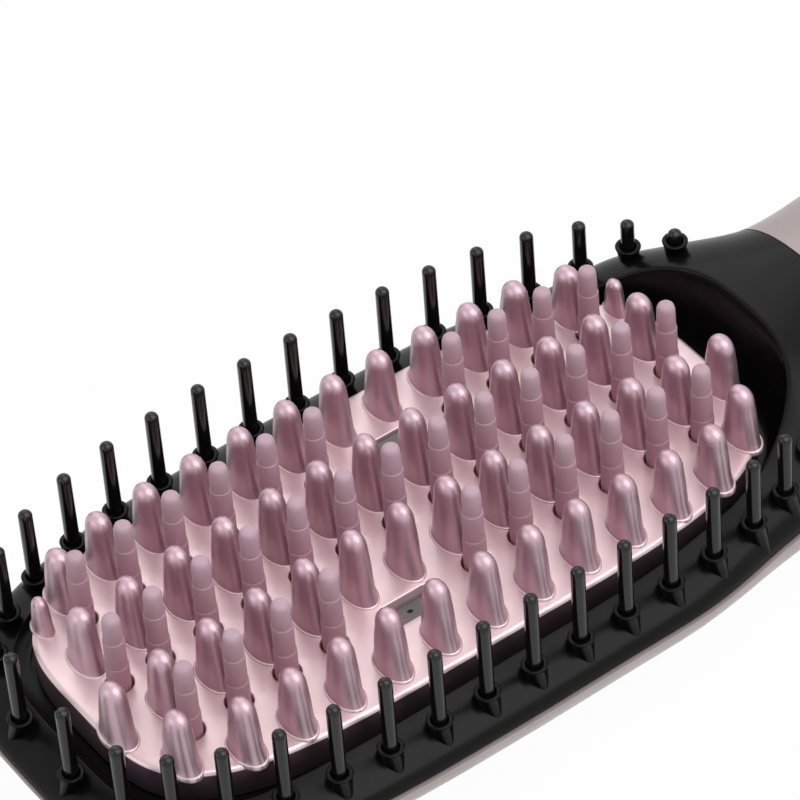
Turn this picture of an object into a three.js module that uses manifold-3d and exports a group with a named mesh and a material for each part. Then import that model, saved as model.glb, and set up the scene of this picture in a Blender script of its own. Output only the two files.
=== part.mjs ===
// Hair straightening brush: a heated tooth plate with cool bristles, in a frame of guard pins,
// on a handle with a display and three buttons.
// Millimetres. +X runs along the handle and +Z out of the teeth. The origin is under the
// middle of the head, on the flat of the back that the brush lies on.

import * as THREE from 'three';
import { mergeVertices } from 'three/addons/utils/BufferGeometryUtils.js';
import Module from 'manifold-3d';

const wasm = await Module();
wasm.setup();

// Fits and walls
const GAP = 0.3;
const WALL = 1.8;
const RIM_WALL = 1.6;

// Tooth field
const TOOTH_PITCH = 8;
const ROW_PITCH = 13.6;
const TOOTH_HEIGHT = 12;
const TOOTH_BASE = { alongX: 2.1, alongY: 3.6 };
const SMALL_TOOTH_SCALE = 0.62;
const SKIRT_KEEP = 3;
const MIDDLE_COLUMN = 6.5;

// Heating plate
const PLATE_CROWN = 24.4;
const PLATE_THICKNESS = 6.4;
const PLATE_END_MARGIN = 1.8;
const PLATE_SIDE_MARGIN = 5.2;
const PLATE_POWER = 3.7;

// How fast the plate, and the tips over it, fall away from the middle of the head
const PLATE_FALL = { along: 0.0003, across: 0.0013 };
const TIP_FALL = { along: 0.00108, across: 0.0037 };

// Matte bristles through the plate
const BRISTLE_RADIUS = 1.7;
const BRISTLE_TIP_RADIUS = 1.1;
const BRISTLE_HEIGHT = 15;
const STRIP_HALF_WIDTH = 2.5;
const STRIP_END_MARGIN = 2.2;

// Ion outlets in the plate
const ION_SLOT = { length: 9.6, width: 4.2, corner: 1 };
const ION_SLOT_PLACE = { alongX: 8, alongY: 13.4 };
const ION_RECESS = 0.9;
const ION_SLOPE = 1.6;

// Heater stack under the plate
const HEATER = { beforePost: 3.2, width: 7, thickness: 3 };
const CLAMP = { beyondPost: 2.5, halfWidth: 16, thickness: 1 };
const CLAMP_POST = { beforeLedge: 1.4, radius: 2.3 };
const LEAD = { radius: 0.7, beyondHeater: 1.2, hole: 0.6, aside: 7, low: 10.6 };
const FUSE = { length: 11, width: 3.4, height: 3 };
const THERMISTOR = { length: 6, width: 2.2, height: 2.2 };

// High-voltage block for the ion needles
const ION_MODULE = { alongX: -12, length: 26, width: 14, height: 7 };

// Frame around the plate
const PLATE_GAP = 0.6;
const CREST_SIDE_GAP = 1.4;
const CREST_TIP_GAP = 2.8;
const SCOOP_LENGTH = 7.2;
const CREST_TO_PIN = 3.8;
const PIN_TO_EDGE = 3.7;
const RIM_RISE = 7;
const SEAM_BELOW_PLATE = 1.8;
const SEAM_SAG = 0.0003;
const LEDGE = { width: 2.6, thickness: 1.5 };
const NECK_END = 73;

// Guard pins in the frame
const PIN_RADIUS = 1.1;
const PIN_TIP_RADIUS = 0.95;
const PIN_ABOVE_CROWN = 10.9;
const PIN_TILT = 0.0075;
const PIN_CROWN = 0.001;
const PIN_PITCH = 8;
const PIN_NECK_PITCH = 7.1;
const PIN_CORNER_PITCH = 7.3;
const PIN_TURN_PITCH = 10.5;
const PIN_TIP_PITCH = 12.7;
const PIN_START = 16.9;
const COLLAR = { above: 2.05, lipRadius: 1.95, footRadius: 2.25 };
const CARRIER = { inwards: 1.4, outwards: 0.8, thickness: 1.4, pinsSink: 0.35 };

// Back shell and handle
const SHELL_OVERHANG = 0.5;
const TAIL = 208;
const CAP_LENGTH = 11;
const HANDLE_SEAM = 16;
const SCREW = { shaft: 1, head: 2, headLength: 1.5, sunk: 1.4 };
const CASE_BOSS = { radius: 3.4, step: 0.6, clear: 0.4, meet: 10 };
const CASE_SCREW_PLACE = { beforePlateTip: 10.3, beyondNeck: 5.5, beforeTail: 11 };
const FLAT_END = 44;

// Half width of the body at the parting line, from the middle of the head to the tail
const HALF_WIDTHS = [
  [15, -0.3], [27, -0.6], [34, -1.5], [43, -3.4], [50, -4.7], [57, -6.6], [64, -10.8],
  [74, -16], [90, -15.4], [140, -16.3], [188, -15.8], [TAIL, -17.4],
];
// Height of the top over the parting line, in the middle of the body
const TOP_RISES = [
  [0, RIM_RISE], [24, RIM_RISE], [34, 7.7], [46, 8.6], [52, 11], [58, 13.5], [64, 14.2],
  [74, 14.3], [90, 14.3], [140, 13.4], [188, 12.8], [TAIL, 11.8],
];
// How full the sections of the body are: 2 is an ellipse, more is squarer
const SECTION_POWER = { headTop: 2.2, headBack: 2.5, handle: 2.3 };
// Height of the back over the table, below zero where the moulding is ground flat
const BACK_HEIGHTS = [
  [0, -0.6], [FLAT_END, -0.5], [62, 0.9], [82, 2.6], [112, 2.4], [150, 0.7],
  [178, -0.3], [198, -0.3], [TAIL, 0.6],
];

// Controls on the handle
const WINDOW = { alongX: 104, length: 32, width: 15, corner: 3, thickness: 1.6 };
const BOARD = { beyondNeck: 11, beforeTail: 32, halfWidth: 11, thickness: 1.6, under: 16 };
const BUTTON_TRAVEL = 0.5;
const BUTTON_PROUD = 0.9;
const BUTTON_FLANGE = { extra: 1.2, thickness: 1 };
const SWITCH = { side: 6, height: 3.5, plungerRadius: 1.6, plunger: 0.7 };
const BUTTONS = [
  { name: 'power', alongX: 134, halfLength: 5.2, halfWidth: 5.2, colour: 0x2b2a2c },
  { name: 'plus', alongX: 149, halfLength: 4.2, halfWidth: 5, colour: 0x2b2a2c },
  { name: 'minus', alongX: 162, halfLength: 4.2, halfWidth: 5, colour: 0x2b2a2c },
];

// Tail
const GLAND = { radius: 5, bore: 2.6, length: 12, flange: 7, flangeLength: 2 };

// Facets round a piece
const OUTLINE_STEPS = 36;
const ARCH_STEPS = 10;
const INSIDE_STEPS = 4;
const ROUND = 8;
const SMALL_ROUND = 6;
const BUTTON_SIDES = 16;

// Sizes that follow from the ones above
const PLATE_UNDER = PLATE_CROWN - PLATE_THICKNESS;
const LEDGE_TOP = PLATE_UNDER - GAP;
const HEATER_TOP = PLATE_UNDER - GAP;
const CLAMP_TOP = HEATER_TOP - HEATER.thickness - GAP;
const CLAMP_UNDER = CLAMP_TOP - CLAMP.thickness;
const SEAM = PLATE_UNDER - SEAM_BELOW_PLATE;
const BOARD_TOP = BOARD.under + BOARD.thickness;

const PLATE = {
  neck: MIDDLE_COLUMN * TOOTH_PITCH + PLATE_END_MARGIN,
  tip: MIDDLE_COLUMN * TOOTH_PITCH + PLATE_END_MARGIN,
  half: 1.5 * ROW_PITCH + PLATE_SIDE_MARGIN,
  neckPower: PLATE_POWER,
  tipPower: PLATE_POWER,
};
const CREST = {
  neck: PLATE.neck + SCOOP_LENGTH,
  tip: PLATE.tip + CREST_TIP_GAP,
  half: PLATE.half + CREST_SIDE_GAP,
  neckPower: 3,
  tipPower: 4,
};
const PIN_LINE = {
  neck: CREST.neck + 3.5,
  tip: CREST.tip + 2.7,
  half: CREST.half + CREST_TO_PIN,
  neckPower: 3.4,
  tipPower: 3.4,
};
const EDGE = {
  tip: PIN_LINE.tip + PIN_TO_EDGE - 0.2,
  half: PIN_LINE.half + PIN_TO_EDGE,
  tipPower: 3.4,
};

const CARRIER_TOP = SEAM - SEAM_SAG * EDGE.tip ** 2 - GAP;

const POST_PLACE = PLATE.neck - LEDGE.width - CLAMP_POST.beforeLedge - CLAMP_POST.radius;
const HEATER_END = POST_PLACE - CLAMP_POST.radius - HEATER.beforePost;
const CLAMP_END = POST_PLACE + CLAMP.beyondPost;
const LEAD_DROP = HEATER_END + LEAD.beyondHeater + LEAD.radius;
const BOARD_START = NECK_END + BOARD.beyondNeck;
const BOARD_END = TAIL - BOARD.beforeTail;

// Materials
const finish = (color, roughness, metalness = 0) =>
  new THREE.MeshStandardMaterial({ color, roughness, metalness });
const ROSE_METAL = finish(0xd9a3ae, 0.3, 0.7);
const MATTE_ROSE = finish(0xa9828b, 0.65);
const GLOSS_BLACK = finish(0x141416, 0.3);
const PEARL = finish(0xb7a2a2, 0.35, 0.2);
const DARK_GREY = finish(0x3a3b3d, 0.55);
const STEEL = finish(0xb8babd, 0.35, 1);
const ALUMINIUM = finish(0xc9ccce, 0.4, 1);
const BOARD_GREEN = finish(0x1f6b45, 0.6);
const SMOKED = finish(0x0b0b0d, 0.12);
const MICA = finish(0xcdbf9c, 0.7);
const LEAD_RED = finish(0xa02a26, 0.55);

// Build a closed solid from points and triangles, joining the points that coincide
function closed(points, index) {
  const geometry = new THREE.BufferGeometry();
  const positions = points.flatMap((p) => [p.x, p.y, p.z]);
  geometry.setAttribute('position', new THREE.Float32BufferAttribute(positions, 3));
  geometry.setIndex(index);
  return solid(geometry);
}

// Turn any closed three.js geometry into a solid that can be joined and cut
function solid(geometry) {
  const bare = geometry.clone();
  bare.deleteAttribute('normal');
  bare.deleteAttribute('uv');
  const merged = mergeVertices(bare, 1e-5);
  const corners = merged.index.array;
  const kept = [];
  for (let i = 0; i < corners.length; i += 3) {
    const [a, b, c] = [corners[i], corners[i + 1], corners[i + 2]];
    if (a !== b && b !== c && c !== a) kept.push(a, b, c);
  }
  return new wasm.Manifold(new wasm.Mesh({
    numProp: 3,
    vertProperties: new Float32Array(merged.attributes.position.array),
    triVerts: new Uint32Array(kept),
  }));
}

// Name a finished solid and give it its material
function piece(name, shape, material) {
  const mesh = shape.getMesh();
  const geometry = new THREE.BufferGeometry();
  geometry.setAttribute('position', new THREE.Float32BufferAttribute(mesh.vertProperties, 3));
  geometry.setIndex(Array.from(mesh.triVerts));
  geometry.computeVertexNormals();
  const result = new THREE.Mesh(geometry, material);
  result.name = name;
  return result;
}

const at = (x, y, z) => new THREE.Vector3(x, y, z);

// Skin a stack of rings, each anticlockwise about the way the stack runs; one point is a peak
function skin(rings) {
  const index = [];
  const starts = [];
  let count = 0;
  for (const ring of rings) {
    starts.push(count);
    count += ring.length;
  }
  for (let r = 0; r + 1 < rings.length; r += 1) {
    const low = rings[r].length;
    const high = rings[r + 1].length;
    for (let i = 0; i < Math.max(low, high); i += 1) {
      const a = starts[r] + (i % low);
      const b = starts[r] + ((i + 1) % low);
      const c = starts[r + 1] + ((i + 1) % high);
      const d = starts[r + 1] + (i % high);
      index.push(a, b, c, a, c, d);
    }
  }
  const last = rings.length - 1;
  for (let i = 1; i + 1 < rings[0].length; i += 1) index.push(0, i + 1, i);
  for (let i = 1; i + 1 < rings[last].length; i += 1) {
    index.push(starts[last], starts[last] + i, starts[last] + i + 1);
  }
  return closed(rings.flat(), index);
}

// An upright round or oval ring of points
function oval(x, y, z, alongX, alongY = alongX, sides = ROUND) {
  return Array.from({ length: sides }, (_, i) => {
    const angle = ((i + 0.5) / sides) * 2 * Math.PI;
    return at(x + alongX * Math.cos(angle), y + alongY * Math.sin(angle), z);
  });
}

// A stack of upright rings from a list of [height, radius along X, radius along Y]
function turned(x, y, levels, sides = ROUND) {
  return skin(levels.map(([z, alongX, alongY = alongX]) => (
    alongX === 0 ? [at(x, y, z)] : oval(x, y, z, alongX, alongY, sides)
  )));
}

const cylinder = (x, y, low, high, radius, sides = ROUND) =>
  turned(x, y, [[low, radius], [high, radius]], sides);

// An upright block with rounded corners
function block(x, y, low, high, length, width, corner = 0) {
  const shape = new THREE.Shape();
  const [hx, hy] = [length / 2, width / 2];
  if (corner === 0) {
    shape.moveTo(-hx, -hy).lineTo(hx, -hy).lineTo(hx, hy).lineTo(-hx, hy).closePath();
  } else {
    shape.moveTo(-hx + corner, -hy).lineTo(hx - corner, -hy);
    shape.quadraticCurveTo(hx, -hy, hx, -hy + corner).lineTo(hx, hy - corner);
    shape.quadraticCurveTo(hx, hy, hx - corner, hy).lineTo(-hx + corner, hy);
    shape.quadraticCurveTo(-hx, hy, -hx, hy - corner).lineTo(-hx, -hy + corner);
    shape.quadraticCurveTo(-hx, -hy, -hx + corner, -hy);
  }
  const options = { depth: high - low, bevelEnabled: false, curveSegments: 3 };
  return solid(new THREE.ExtrudeGeometry(shape, options).translate(x, y, low));
}

// Join many solids
const joined = (shapes) => shapes.reduce((sum, shape) => sum.add(shape));

// A smooth line through [along, value] stations
function smooth(stations, x) {
  const last = stations.length - 1;
  if (x <= stations[0][0]) return stations[0][1];
  if (x >= stations[last][0]) return stations[last][1];
  const i = stations.findIndex(([along]) => along > x) - 1;
  const slope = (k) => {
    const before = stations[Math.max(k - 1, 0)];
    const after = stations[Math.min(k + 1, last)];
    return (after[1] - before[1]) / (after[0] - before[0]);
  };
  const span = stations[i + 1][0] - stations[i][0];
  const t = (x - stations[i][0]) / span;
  return (1 + 2 * t) * (1 - t) ** 2 * stations[i][1] + t * (1 - t) ** 2 * span * slope(i)
    + t * t * (3 - 2 * t) * stations[i + 1][1] + t * t * (t - 1) * span * slope(i + 1);
}

// Point of a rounded outline at an angle, grown outwards by a margin
function outlinePoint(shape, angle, grow = 0) {
  const [c, s] = [Math.cos(angle), Math.sin(angle)];
  const [reach, power] = c >= 0 ? [shape.neck, shape.neckPower] : [shape.tip, shape.tipPower];
  const bend = (value) => Math.sign(value) * Math.abs(value) ** (2 / power);
  return [(reach + grow) * bend(c), (shape.half + grow) * bend(s)];
}

// Ring of points on an outline, with a height for each point
function outlineRing(shape, grow, heightAt, scale = 1) {
  return Array.from({ length: OUTLINE_STEPS }, (_, i) => {
    const [x, y] = outlinePoint(shape, (i / OUTLINE_STEPS) * 2 * Math.PI, grow);
    return at(x * scale, y * scale, heightAt(x * scale, y * scale));
  });
}

// Half width of an outline at a place along X
function outlineHalf(shape, x) {
  const [reach, power] = x >= 0 ? [shape.neck, shape.neckPower] : [shape.tip, shape.tipPower];
  return shape.half * (1 - Math.min(Math.abs(x) / reach, 1) ** power) ** (1 / power);
}

// Upright block with a rounded outline
function outlineBlock(shape, grow, low, high) {
  return skin([outlineRing(shape, grow, () => low), outlineRing(shape, grow, () => high)]);
}

// Body of the brush, measured from the parting line

const falling = (top, fall, x, y) => top - fall.along * x * x - fall.across * y * y;

const plateTop = (x, y) => falling(PLATE_CROWN, PLATE_FALL, x, y);

const tipAt = (height, x, y) => falling(PLATE_CROWN + height, TIP_FALL, x, y);

const blend = (x, from, to) => THREE.MathUtils.smoothstep(x, from, to);

const seamHeight = (x) => (
  THREE.MathUtils.lerp(SEAM - SEAM_SAG * x * x, HANDLE_SEAM, blend(x, 20, 80))
);

const sectionPower = (x, head) => (
  THREE.MathUtils.lerp(head, SECTION_POWER.handle, blend(x, 30, 74))
);

// Half width of the body, pulled in by an inset
function halfWidth(x, inset) {
  if (x >= 0) return EDGE.half - inset + smooth([[0, 0], ...HALF_WIDTHS], x);
  const reach = Math.min(-x / (EDGE.tip - inset), 1);
  return (EDGE.half - inset) * (1 - reach ** EDGE.tipPower) ** (1 / EDGE.tipPower);
}

// How far the surface at x, y stands off the parting line, as a share of the middle
function swell(x, y, inset, headPower) {
  const power = sectionPower(x, headPower);
  const n = EDGE.tipPower;
  const share = x >= 0
    ? Math.abs(y) / halfWidth(x, inset)
    : ((-x / (EDGE.tip - inset)) ** n + (Math.abs(y) / (EDGE.half - inset)) ** n) ** (1 / n);
  return Math.max(1 - share ** power, 0) ** (1 / power);
}

const topRise = (x) => smooth(TOP_RISES, x);

const topHeight = (x, y, inset = 0) => (
  seamHeight(x) + (topRise(x) - inset) * swell(x, y, inset, SECTION_POWER.headTop)
);

function backHeight(x, y, inset = 0) {
  const drop = seamHeight(x) - smooth(BACK_HEIGHTS, Math.abs(x) < FLAT_END ? 0 : x) - inset;
  const share = swell(x, y, inset - SHELL_OVERHANG, SECTION_POWER.headBack);
  return Math.max(seamHeight(x) - drop * share, inset);
}

// Places along X where the body is measured: close together round the tip
function stations(inset, from, to) {
  const round = Array.from({ length: 7 }, (_, i) => {
    const angle = ((i + from) * Math.PI) / 14;
    return -(EDGE.tip - inset) * Math.cos(angle) ** (2 / EDGE.tipPower);
  });
  const straight = [0, 20, 36, 46, 53, 59, 66, 73, 82, 98, 125, 155, 182, 200, TAIL];
  return [...round.filter((x) => x < -1), ...straight.filter((x) => x < to - 0.5), to];
}

// Points over the top of the body at x, from +Y to -Y
function topSection(x, inset, steps = ARCH_STEPS) {
  const half = halfWidth(x, inset);
  return Array.from({ length: steps + 1 }, (_, i) => {
    const y = half * Math.cos((i / steps) * Math.PI);
    return at(x, y, i % steps === 0 ? seamHeight(x) : topHeight(x, y, inset));
  });
}

// Points under the back of the body at x, from -Y to +Y
function backSection(x, inset) {
  const half = halfWidth(x, inset - SHELL_OVERHANG);
  const rim = seamHeight(x) - GAP;
  return Array.from({ length: ARCH_STEPS + 1 }, (_, i) => {
    const y = -half * Math.cos((i / ARCH_STEPS) * Math.PI);
    return at(x, y, i % ARCH_STEPS === 0 ? rim : Math.min(backHeight(x, y, inset), rim));
  });
}

// Thin shell between an outer and an inner grid of points, open along its long edges
function sheet(outer, inner) {
  const rows = outer.length;
  const columns = outer[0].length;
  const o = (r, c) => r * columns + c;
  const n = (r, c) => rows * columns + r * columns + c;
  const index = [];
  const quad = (a, b, c, d) => index.push(a, b, c, a, c, d);
  for (let r = 0; r + 1 < rows; r += 1) {
    for (let c = 0; c + 1 < columns; c += 1) {
      quad(o(r, c), o(r, c + 1), o(r + 1, c + 1), o(r + 1, c));
      quad(n(r, c), n(r + 1, c), n(r + 1, c + 1), n(r, c + 1));
    }
    quad(o(r, 0), o(r + 1, 0), n(r + 1, 0), n(r, 0));
    quad(o(r, columns - 1), n(r, columns - 1), n(r + 1, columns - 1), o(r + 1, columns - 1));
  }
  for (let c = 0; c + 1 < columns; c += 1) {
    quad(o(0, c), n(0, c), n(0, c + 1), o(0, c + 1));
    quad(o(rows - 1, c), o(rows - 1, c + 1), n(rows - 1, c + 1), n(rows - 1, c));
  }
  return closed([...outer.flat(), ...inner.flat()], index);
}

// Tooth places, as columns of the pitch and rows of the row pitch
const columns = (from, to) => Array.from({ length: to - from + 1 }, (_, i) => from + i);
const alongX = (column) => (column - MIDDLE_COLUMN) * TOOTH_PITCH;

const TEETH = [
  ...columns(1, 12).map((c) => [c, 1.5]),
  ...columns(1, 13).map((c) => [c - 0.5, 0.5]),
  ...columns(0, 13).map((c) => [c, -0.5]),
  ...columns(2, 12).map((c) => [c - 0.5, -1.5]),
  [0.5, -1.2],
  [12.5, -1.2],
].map(([column, row]) => ({ x: alongX(column), row: row * ROW_PITCH, scale: 1 }));

const SMALL_TEETH = [[0.35, 1.17], [12.75, 1.13]]
  .map(([column, row]) => ({
    x: alongX(column), row: row * ROW_PITCH, scale: SMALL_TOOTH_SCALE,
  }));

// Three strips of bristles; the outer two leave room for an ion outlet each
const BRISTLE_ROWS = [
  { name: 'bristle_strip_far', y: ROW_PITCH, columns: [...columns(1, 6), ...columns(9, 12)] },
  {
    name: 'bristle_strip_middle',
    y: 0.04 * ROW_PITCH,
    columns: [0.65, ...columns(2, 13).map((c) => c - 0.5)],
  },
  {
    name: 'bristle_strip_near',
    y: -0.92 * ROW_PITCH,
    columns: [...columns(1, 4), ...columns(7, 12)],
  },
];

// The two ion outlets lie opposite each other across the middle
const ION_OUTLETS = [
  { name: 'far', x: ION_SLOT_PLACE.alongX, y: ION_SLOT_PLACE.alongY, side: 1 },
  { name: 'near', x: -ION_SLOT_PLACE.alongX, y: -ION_SLOT_PLACE.alongY, side: -1 },
];

// A blunt tooth: a wide skirt at the plate, a nearly round body and a rounded tip
function tooth({ x, row, scale }) {
  const limit = outlineHalf(PLATE, x) - SKIRT_KEEP * scale;
  const y = Math.sign(row) * Math.min(Math.abs(row), limit);
  const foot = plateTop(x, y);
  const [bx, by] = [TOOTH_BASE.alongX * scale, TOOTH_BASE.alongY * scale];
  const h = (tipAt(TOOTH_HEIGHT, x, y) - foot) * scale;
  return turned(x, y, [
    [foot - 0.9, bx * 1.03, by * 1.09],
    [foot + 0.3 * h, bx * 0.95, by * 0.82],
    [foot + 0.74 * h, bx * 0.87, by * 0.64],
    [foot + 0.94 * h, bx * 0.55, by * 0.4],
    [foot + h, 0],
  ], SMALL_ROUND);
}

const clampPosts = [-1, 1].flatMap((sx) => [heaterY(1), heaterY(-1)]
  .map((y) => ({ x: sx * POST_PLACE, y })));

// The heaters lie between the bristle strips
function heaterY(side) {
  const outer = side > 0 ? BRISTLE_ROWS[0].y : BRISTLE_ROWS[2].y;
  return (outer + BRISTLE_ROWS[1].y) / 2;
}

// Plate without teeth, as sections along X: crowned on top and flat beneath
function plateSlab() {
  const quarter = [0.12, 0.3, 0.5, 0.7, 0.9, 1.1, 1.3, Math.PI / 2];
  const reach = quarter.map((angle) => outlinePoint(PLATE, angle)[0]);
  const places = [...reach.map((x) => -x), ...reach.slice(0, -1).reverse()];
  const section = (x) => {
    const half = outlineHalf(PLATE, x);
    const over = [1, 0.5, 0, -0.5, -1].map((share) => at(x, share * half, plateTop(x, share * half)));
    return [...over, at(x, -half, PLATE_UNDER), at(x, half, PLATE_UNDER)];
  };
  return skin([...places.map(section)]);
}

// Cast plate with its teeth, bristle holes, ion slots and the posts that the clamp screws to
function heatingPlate() {
  const slab = plateSlab();
  const above = PLATE_CROWN + TOOTH_HEIGHT + 2;
  const teeth = joined([...TEETH, ...SMALL_TEETH].map(tooth))
    .intersect(outlineBlock(PLATE, 0, PLATE_UNDER, above));
  const posts = clampPosts.map(({ x, y }) => (
    cylinder(x, y, HEATER_TOP - HEATER.thickness, PLATE_UNDER + 0.5, CLAMP_POST.radius)
      .subtract(cylinder(x, y, 0, PLATE_UNDER - 0.4, SCREW.shaft + GAP, SMALL_ROUND))
  ));
  const holeRadius = (BRISTLE_RADIUS + GAP) / Math.cos(Math.PI / SMALL_ROUND);
  const holes = BRISTLE_ROWS.flatMap(({ y, columns: list }) => list.map((column) => (
    cylinder(alongX(column), y, PLATE_UNDER - 1, above, holeRadius, SMALL_ROUND)
  )));
  const slots = ION_OUTLETS.map(({ x, y }) => (
    block(x, y, PLATE_UNDER - 1, above, ION_SLOT.length, ION_SLOT.width, ION_SLOT.corner)
  ));
  return joined([slab, teeth, ...posts]).subtract(joined([...holes, ...slots]));
}

// One strip under the plate with its bristles standing through the holes
function bristleStrip({ y, columns: list }) {
  const low = HEATER_TOP - HEATER.thickness;
  const start = alongX(list[0]) - STRIP_END_MARGIN;
  const end = alongX(list[list.length - 1]) + STRIP_END_MARGIN;
  let strip = block((start + end) / 2, y, low, HEATER_TOP, end - start, 2 * STRIP_HALF_WIDTH);
  for (const outlet of ION_OUTLETS.filter((one) => Math.abs(one.y - y) < ROW_PITCH / 2)) {
    const room = ION_SLOT.length + 4;
    const outside = outlet.side * (STRIP_HALF_WIDTH + 1.6);
    strip = strip
      .add(block(outlet.x, y + outside, low, HEATER_TOP, room + 6, 4.2))
      .subtract(block(outlet.x, outlet.y - outlet.side, low - 1, HEATER_TOP + 1, room, 7.4));
  }
  const bristles = list.map((column) => {
    const x = alongX(column);
    const tip = tipAt(BRISTLE_HEIGHT, x, y);
    return turned(x, y, [
      [low + 0.5, BRISTLE_RADIUS],
      [tip - 0.7 * BRISTLE_HEIGHT, BRISTLE_RADIUS],
      [tip - 0.06 * BRISTLE_HEIGHT, BRISTLE_TIP_RADIUS],
      [tip, 0],
    ], SMALL_ROUND);
  });
  return joined([strip, ...bristles]);
}

// Grille insert that fills an ion slot, with a sloped face and a hole for the emitter
function ionOutlet({ x, y, side }) {
  const flangeTop = HEATER_TOP;
  const flangeLow = flangeTop - 1.2;
  const top = plateTop(x, y) - ION_RECESS;
  const half = ION_SLOT.length / 2 - GAP;
  const reach = ION_SLOT.width / 2 - GAP;
  const ring = (z, dz, hx, hy) => [
    at(x + hx, y - hy, z - dz * side), at(x + hx, y + hy, z + dz * side),
    at(x - hx, y + hy, z + dz * side), at(x - hx, y - hy, z - dz * side),
  ];
  const plug = skin([
    ring(flangeLow + 0.5, 0, half, reach),
    ring(top - ION_SLOPE / 2, ION_SLOPE / 2, half, reach),
  ]);
  const flange = block(x, y, flangeLow, flangeTop, ION_SLOT.length + 1.6, ION_SLOT.width + 0.8);
  return plug.add(flange).subtract(cylinder(x, y, 0, PLATE_CROWN, 1.2, 6));
}

// Needle on its foot under an ion outlet
function ionEmitter({ x, y }) {
  const foot = CLAMP_TOP + GAP;
  return block(x, y, foot, HEATER_TOP - 1.5, 5, 3)
    .add(cylinder(x, y, foot + 0.5, plateTop(x, y) - 3, 0.6, 6));
}

// Flat ceramic heater in its aluminium sleeve
function heater(side) {
  const low = HEATER_TOP - HEATER.thickness;
  return block(0, heaterY(side), low, HEATER_TOP, 2 * HEATER_END, HEATER.width, 0.8);
}

// Plate that presses the heaters and strips up against the heating plate
function heaterClamp() {
  const plate = block(0, 0, CLAMP_UNDER, CLAMP_TOP, 2 * CLAMP_END, 2 * CLAMP.halfWidth, 3);
  const holes = clampPosts.map(({ x, y }) => (
    cylinder(x, y, CLAMP_UNDER - 1, CLAMP_TOP + 1, SCREW.shaft + GAP, SMALL_ROUND)
  ));
  const leadHoles = [1, -1].map((side) => (
    cylinder(LEAD_DROP, heaterY(side), CLAMP_UNDER - 1, CLAMP_TOP + 1, LEAD.radius + LEAD.hole)
  ));
  return plate.subtract(joined([...holes, ...leadHoles]));
}

// Arc lengths along the line of pins, from the far side of the neck round the tip
function pinPlaces() {
  const samples = 1440;
  const points = Array.from({ length: samples + 1 }, (_, i) => (
    outlinePoint(PIN_LINE, (i / samples) * 2 * Math.PI)
  ));
  const lengths = [0];
  for (let i = 1; i <= samples; i += 1) {
    const [dx, dy] = [points[i][0] - points[i - 1][0], points[i][1] - points[i - 1][1]];
    lengths.push(lengths[i - 1] + Math.hypot(dx, dy));
  }
  const place = (length) => {
    const i = Math.min(Math.max(lengths.findIndex((one) => one > length), 1), samples);
    const t = (length - lengths[i - 1]) / (lengths[i] - lengths[i - 1]);
    return points[i].map((value, k) => THREE.MathUtils.lerp(points[i - 1][k], value, t));
  };
  const runs = [
    [2, PIN_NECK_PITCH], [12, PIN_PITCH], [2, PIN_CORNER_PITCH], [2, PIN_TIP_PITCH],
    [1, PIN_TURN_PITCH], [2, PIN_CORNER_PITCH], [11, PIN_PITCH], [3, PIN_NECK_PITCH],
  ];
  let length = PIN_START;
  const stops = [length];
  for (const [count, step] of runs) {
    for (let i = 0; i < count; i += 1) {
      length += step;
      stops.push(length);
    }
  }
  return { pins: stops.map(place), band: { from: PIN_START - 3, to: length + 3, place } };
}

const { pins: PINS, band: BAND } = pinPlaces();

// Guard pins on the hidden band that joins them
function outerPinRing() {
  const low = CARRIER_TOP - CARRIER.thickness;
  const steps = 40;
  const rings = Array.from({ length: steps + 1 }, (_, i) => {
    const length = THREE.MathUtils.lerp(BAND.from, BAND.to, i / steps);
    const [x, y] = BAND.place(length);
    const [x2, y2] = BAND.place(length + 0.5);
    const across = at(y2 - y, x - x2, 0);
    const out = at(x, y, 0).add(across.setLength(CARRIER.outwards));
    const into = at(x, y, 0).sub(across.setLength(CARRIER.inwards));
    return [
      at(out.x, out.y, low), at(into.x, into.y, low),
      at(into.x, into.y, CARRIER_TOP), at(out.x, out.y, CARRIER_TOP),
    ];
  });
  const pins = PINS.map(([x, y]) => {
    const tip = PLATE_CROWN + PIN_ABOVE_CROWN - PIN_TILT * x - PIN_CROWN * x * x;
    const foot = CARRIER_TOP - CARRIER.pinsSink;
    return turned(x, y, [[foot, PIN_RADIUS], [tip, PIN_TIP_RADIUS]], SMALL_ROUND);
  });
  return joined([skin(rings), ...pins]);
}

// The hollow that the plate lies in: a ledge, an upright wall and a scoop up to the crest
function plateWell(grow, low) {
  const lift = (x, y) => topHeight(x, y) - grow * 0.2;
  const wall = outlineRing(PLATE, PLATE_GAP + grow, () => LEDGE_TOP + 0.6);
  const crest = outlineRing(CREST, grow, lift);
  const scoop = crest.map((p, i) => at(
    THREE.MathUtils.lerp(wall[i].x, p.x, 0.62),
    THREE.MathUtils.lerp(wall[i].y, p.y, 0.62),
    THREE.MathUtils.lerp(wall[i].z, p.z, 0.3),
  ));
  return skin([
    outlineRing(PLATE, PLATE_GAP + grow, () => low), wall, scoop, crest,
    outlineRing(CREST, grow, () => PLATE_CROWN + 20),
  ]);
}

// Screws that hold the back shell: two to the frame, two to the handle cover
const HEAD_SCREW = {
  x: CASE_SCREW_PLACE.beforePlateTip - PLATE.tip,
  y: CLAMP.halfWidth + CASE_BOSS.clear + CASE_BOSS.radius - CASE_BOSS.step,
};
const CASE_SCREWS = [
  { name: 'case_screw_1', x: HEAD_SCREW.x, y: HEAD_SCREW.y },
  { name: 'case_screw_2', x: HEAD_SCREW.x, y: -HEAD_SCREW.y },
  { name: 'case_screw_3', x: NECK_END + CASE_SCREW_PLACE.beyondNeck, y: 0 },
  { name: 'case_screw_4', x: TAIL - CASE_SCREW_PLACE.beforeTail, y: 0 },
];

// Height of the seat that the head of a case screw pulls on
const seatHeight = ({ x, y }) => backHeight(x, y) + SCREW.sunk + SCREW.headLength;

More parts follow.
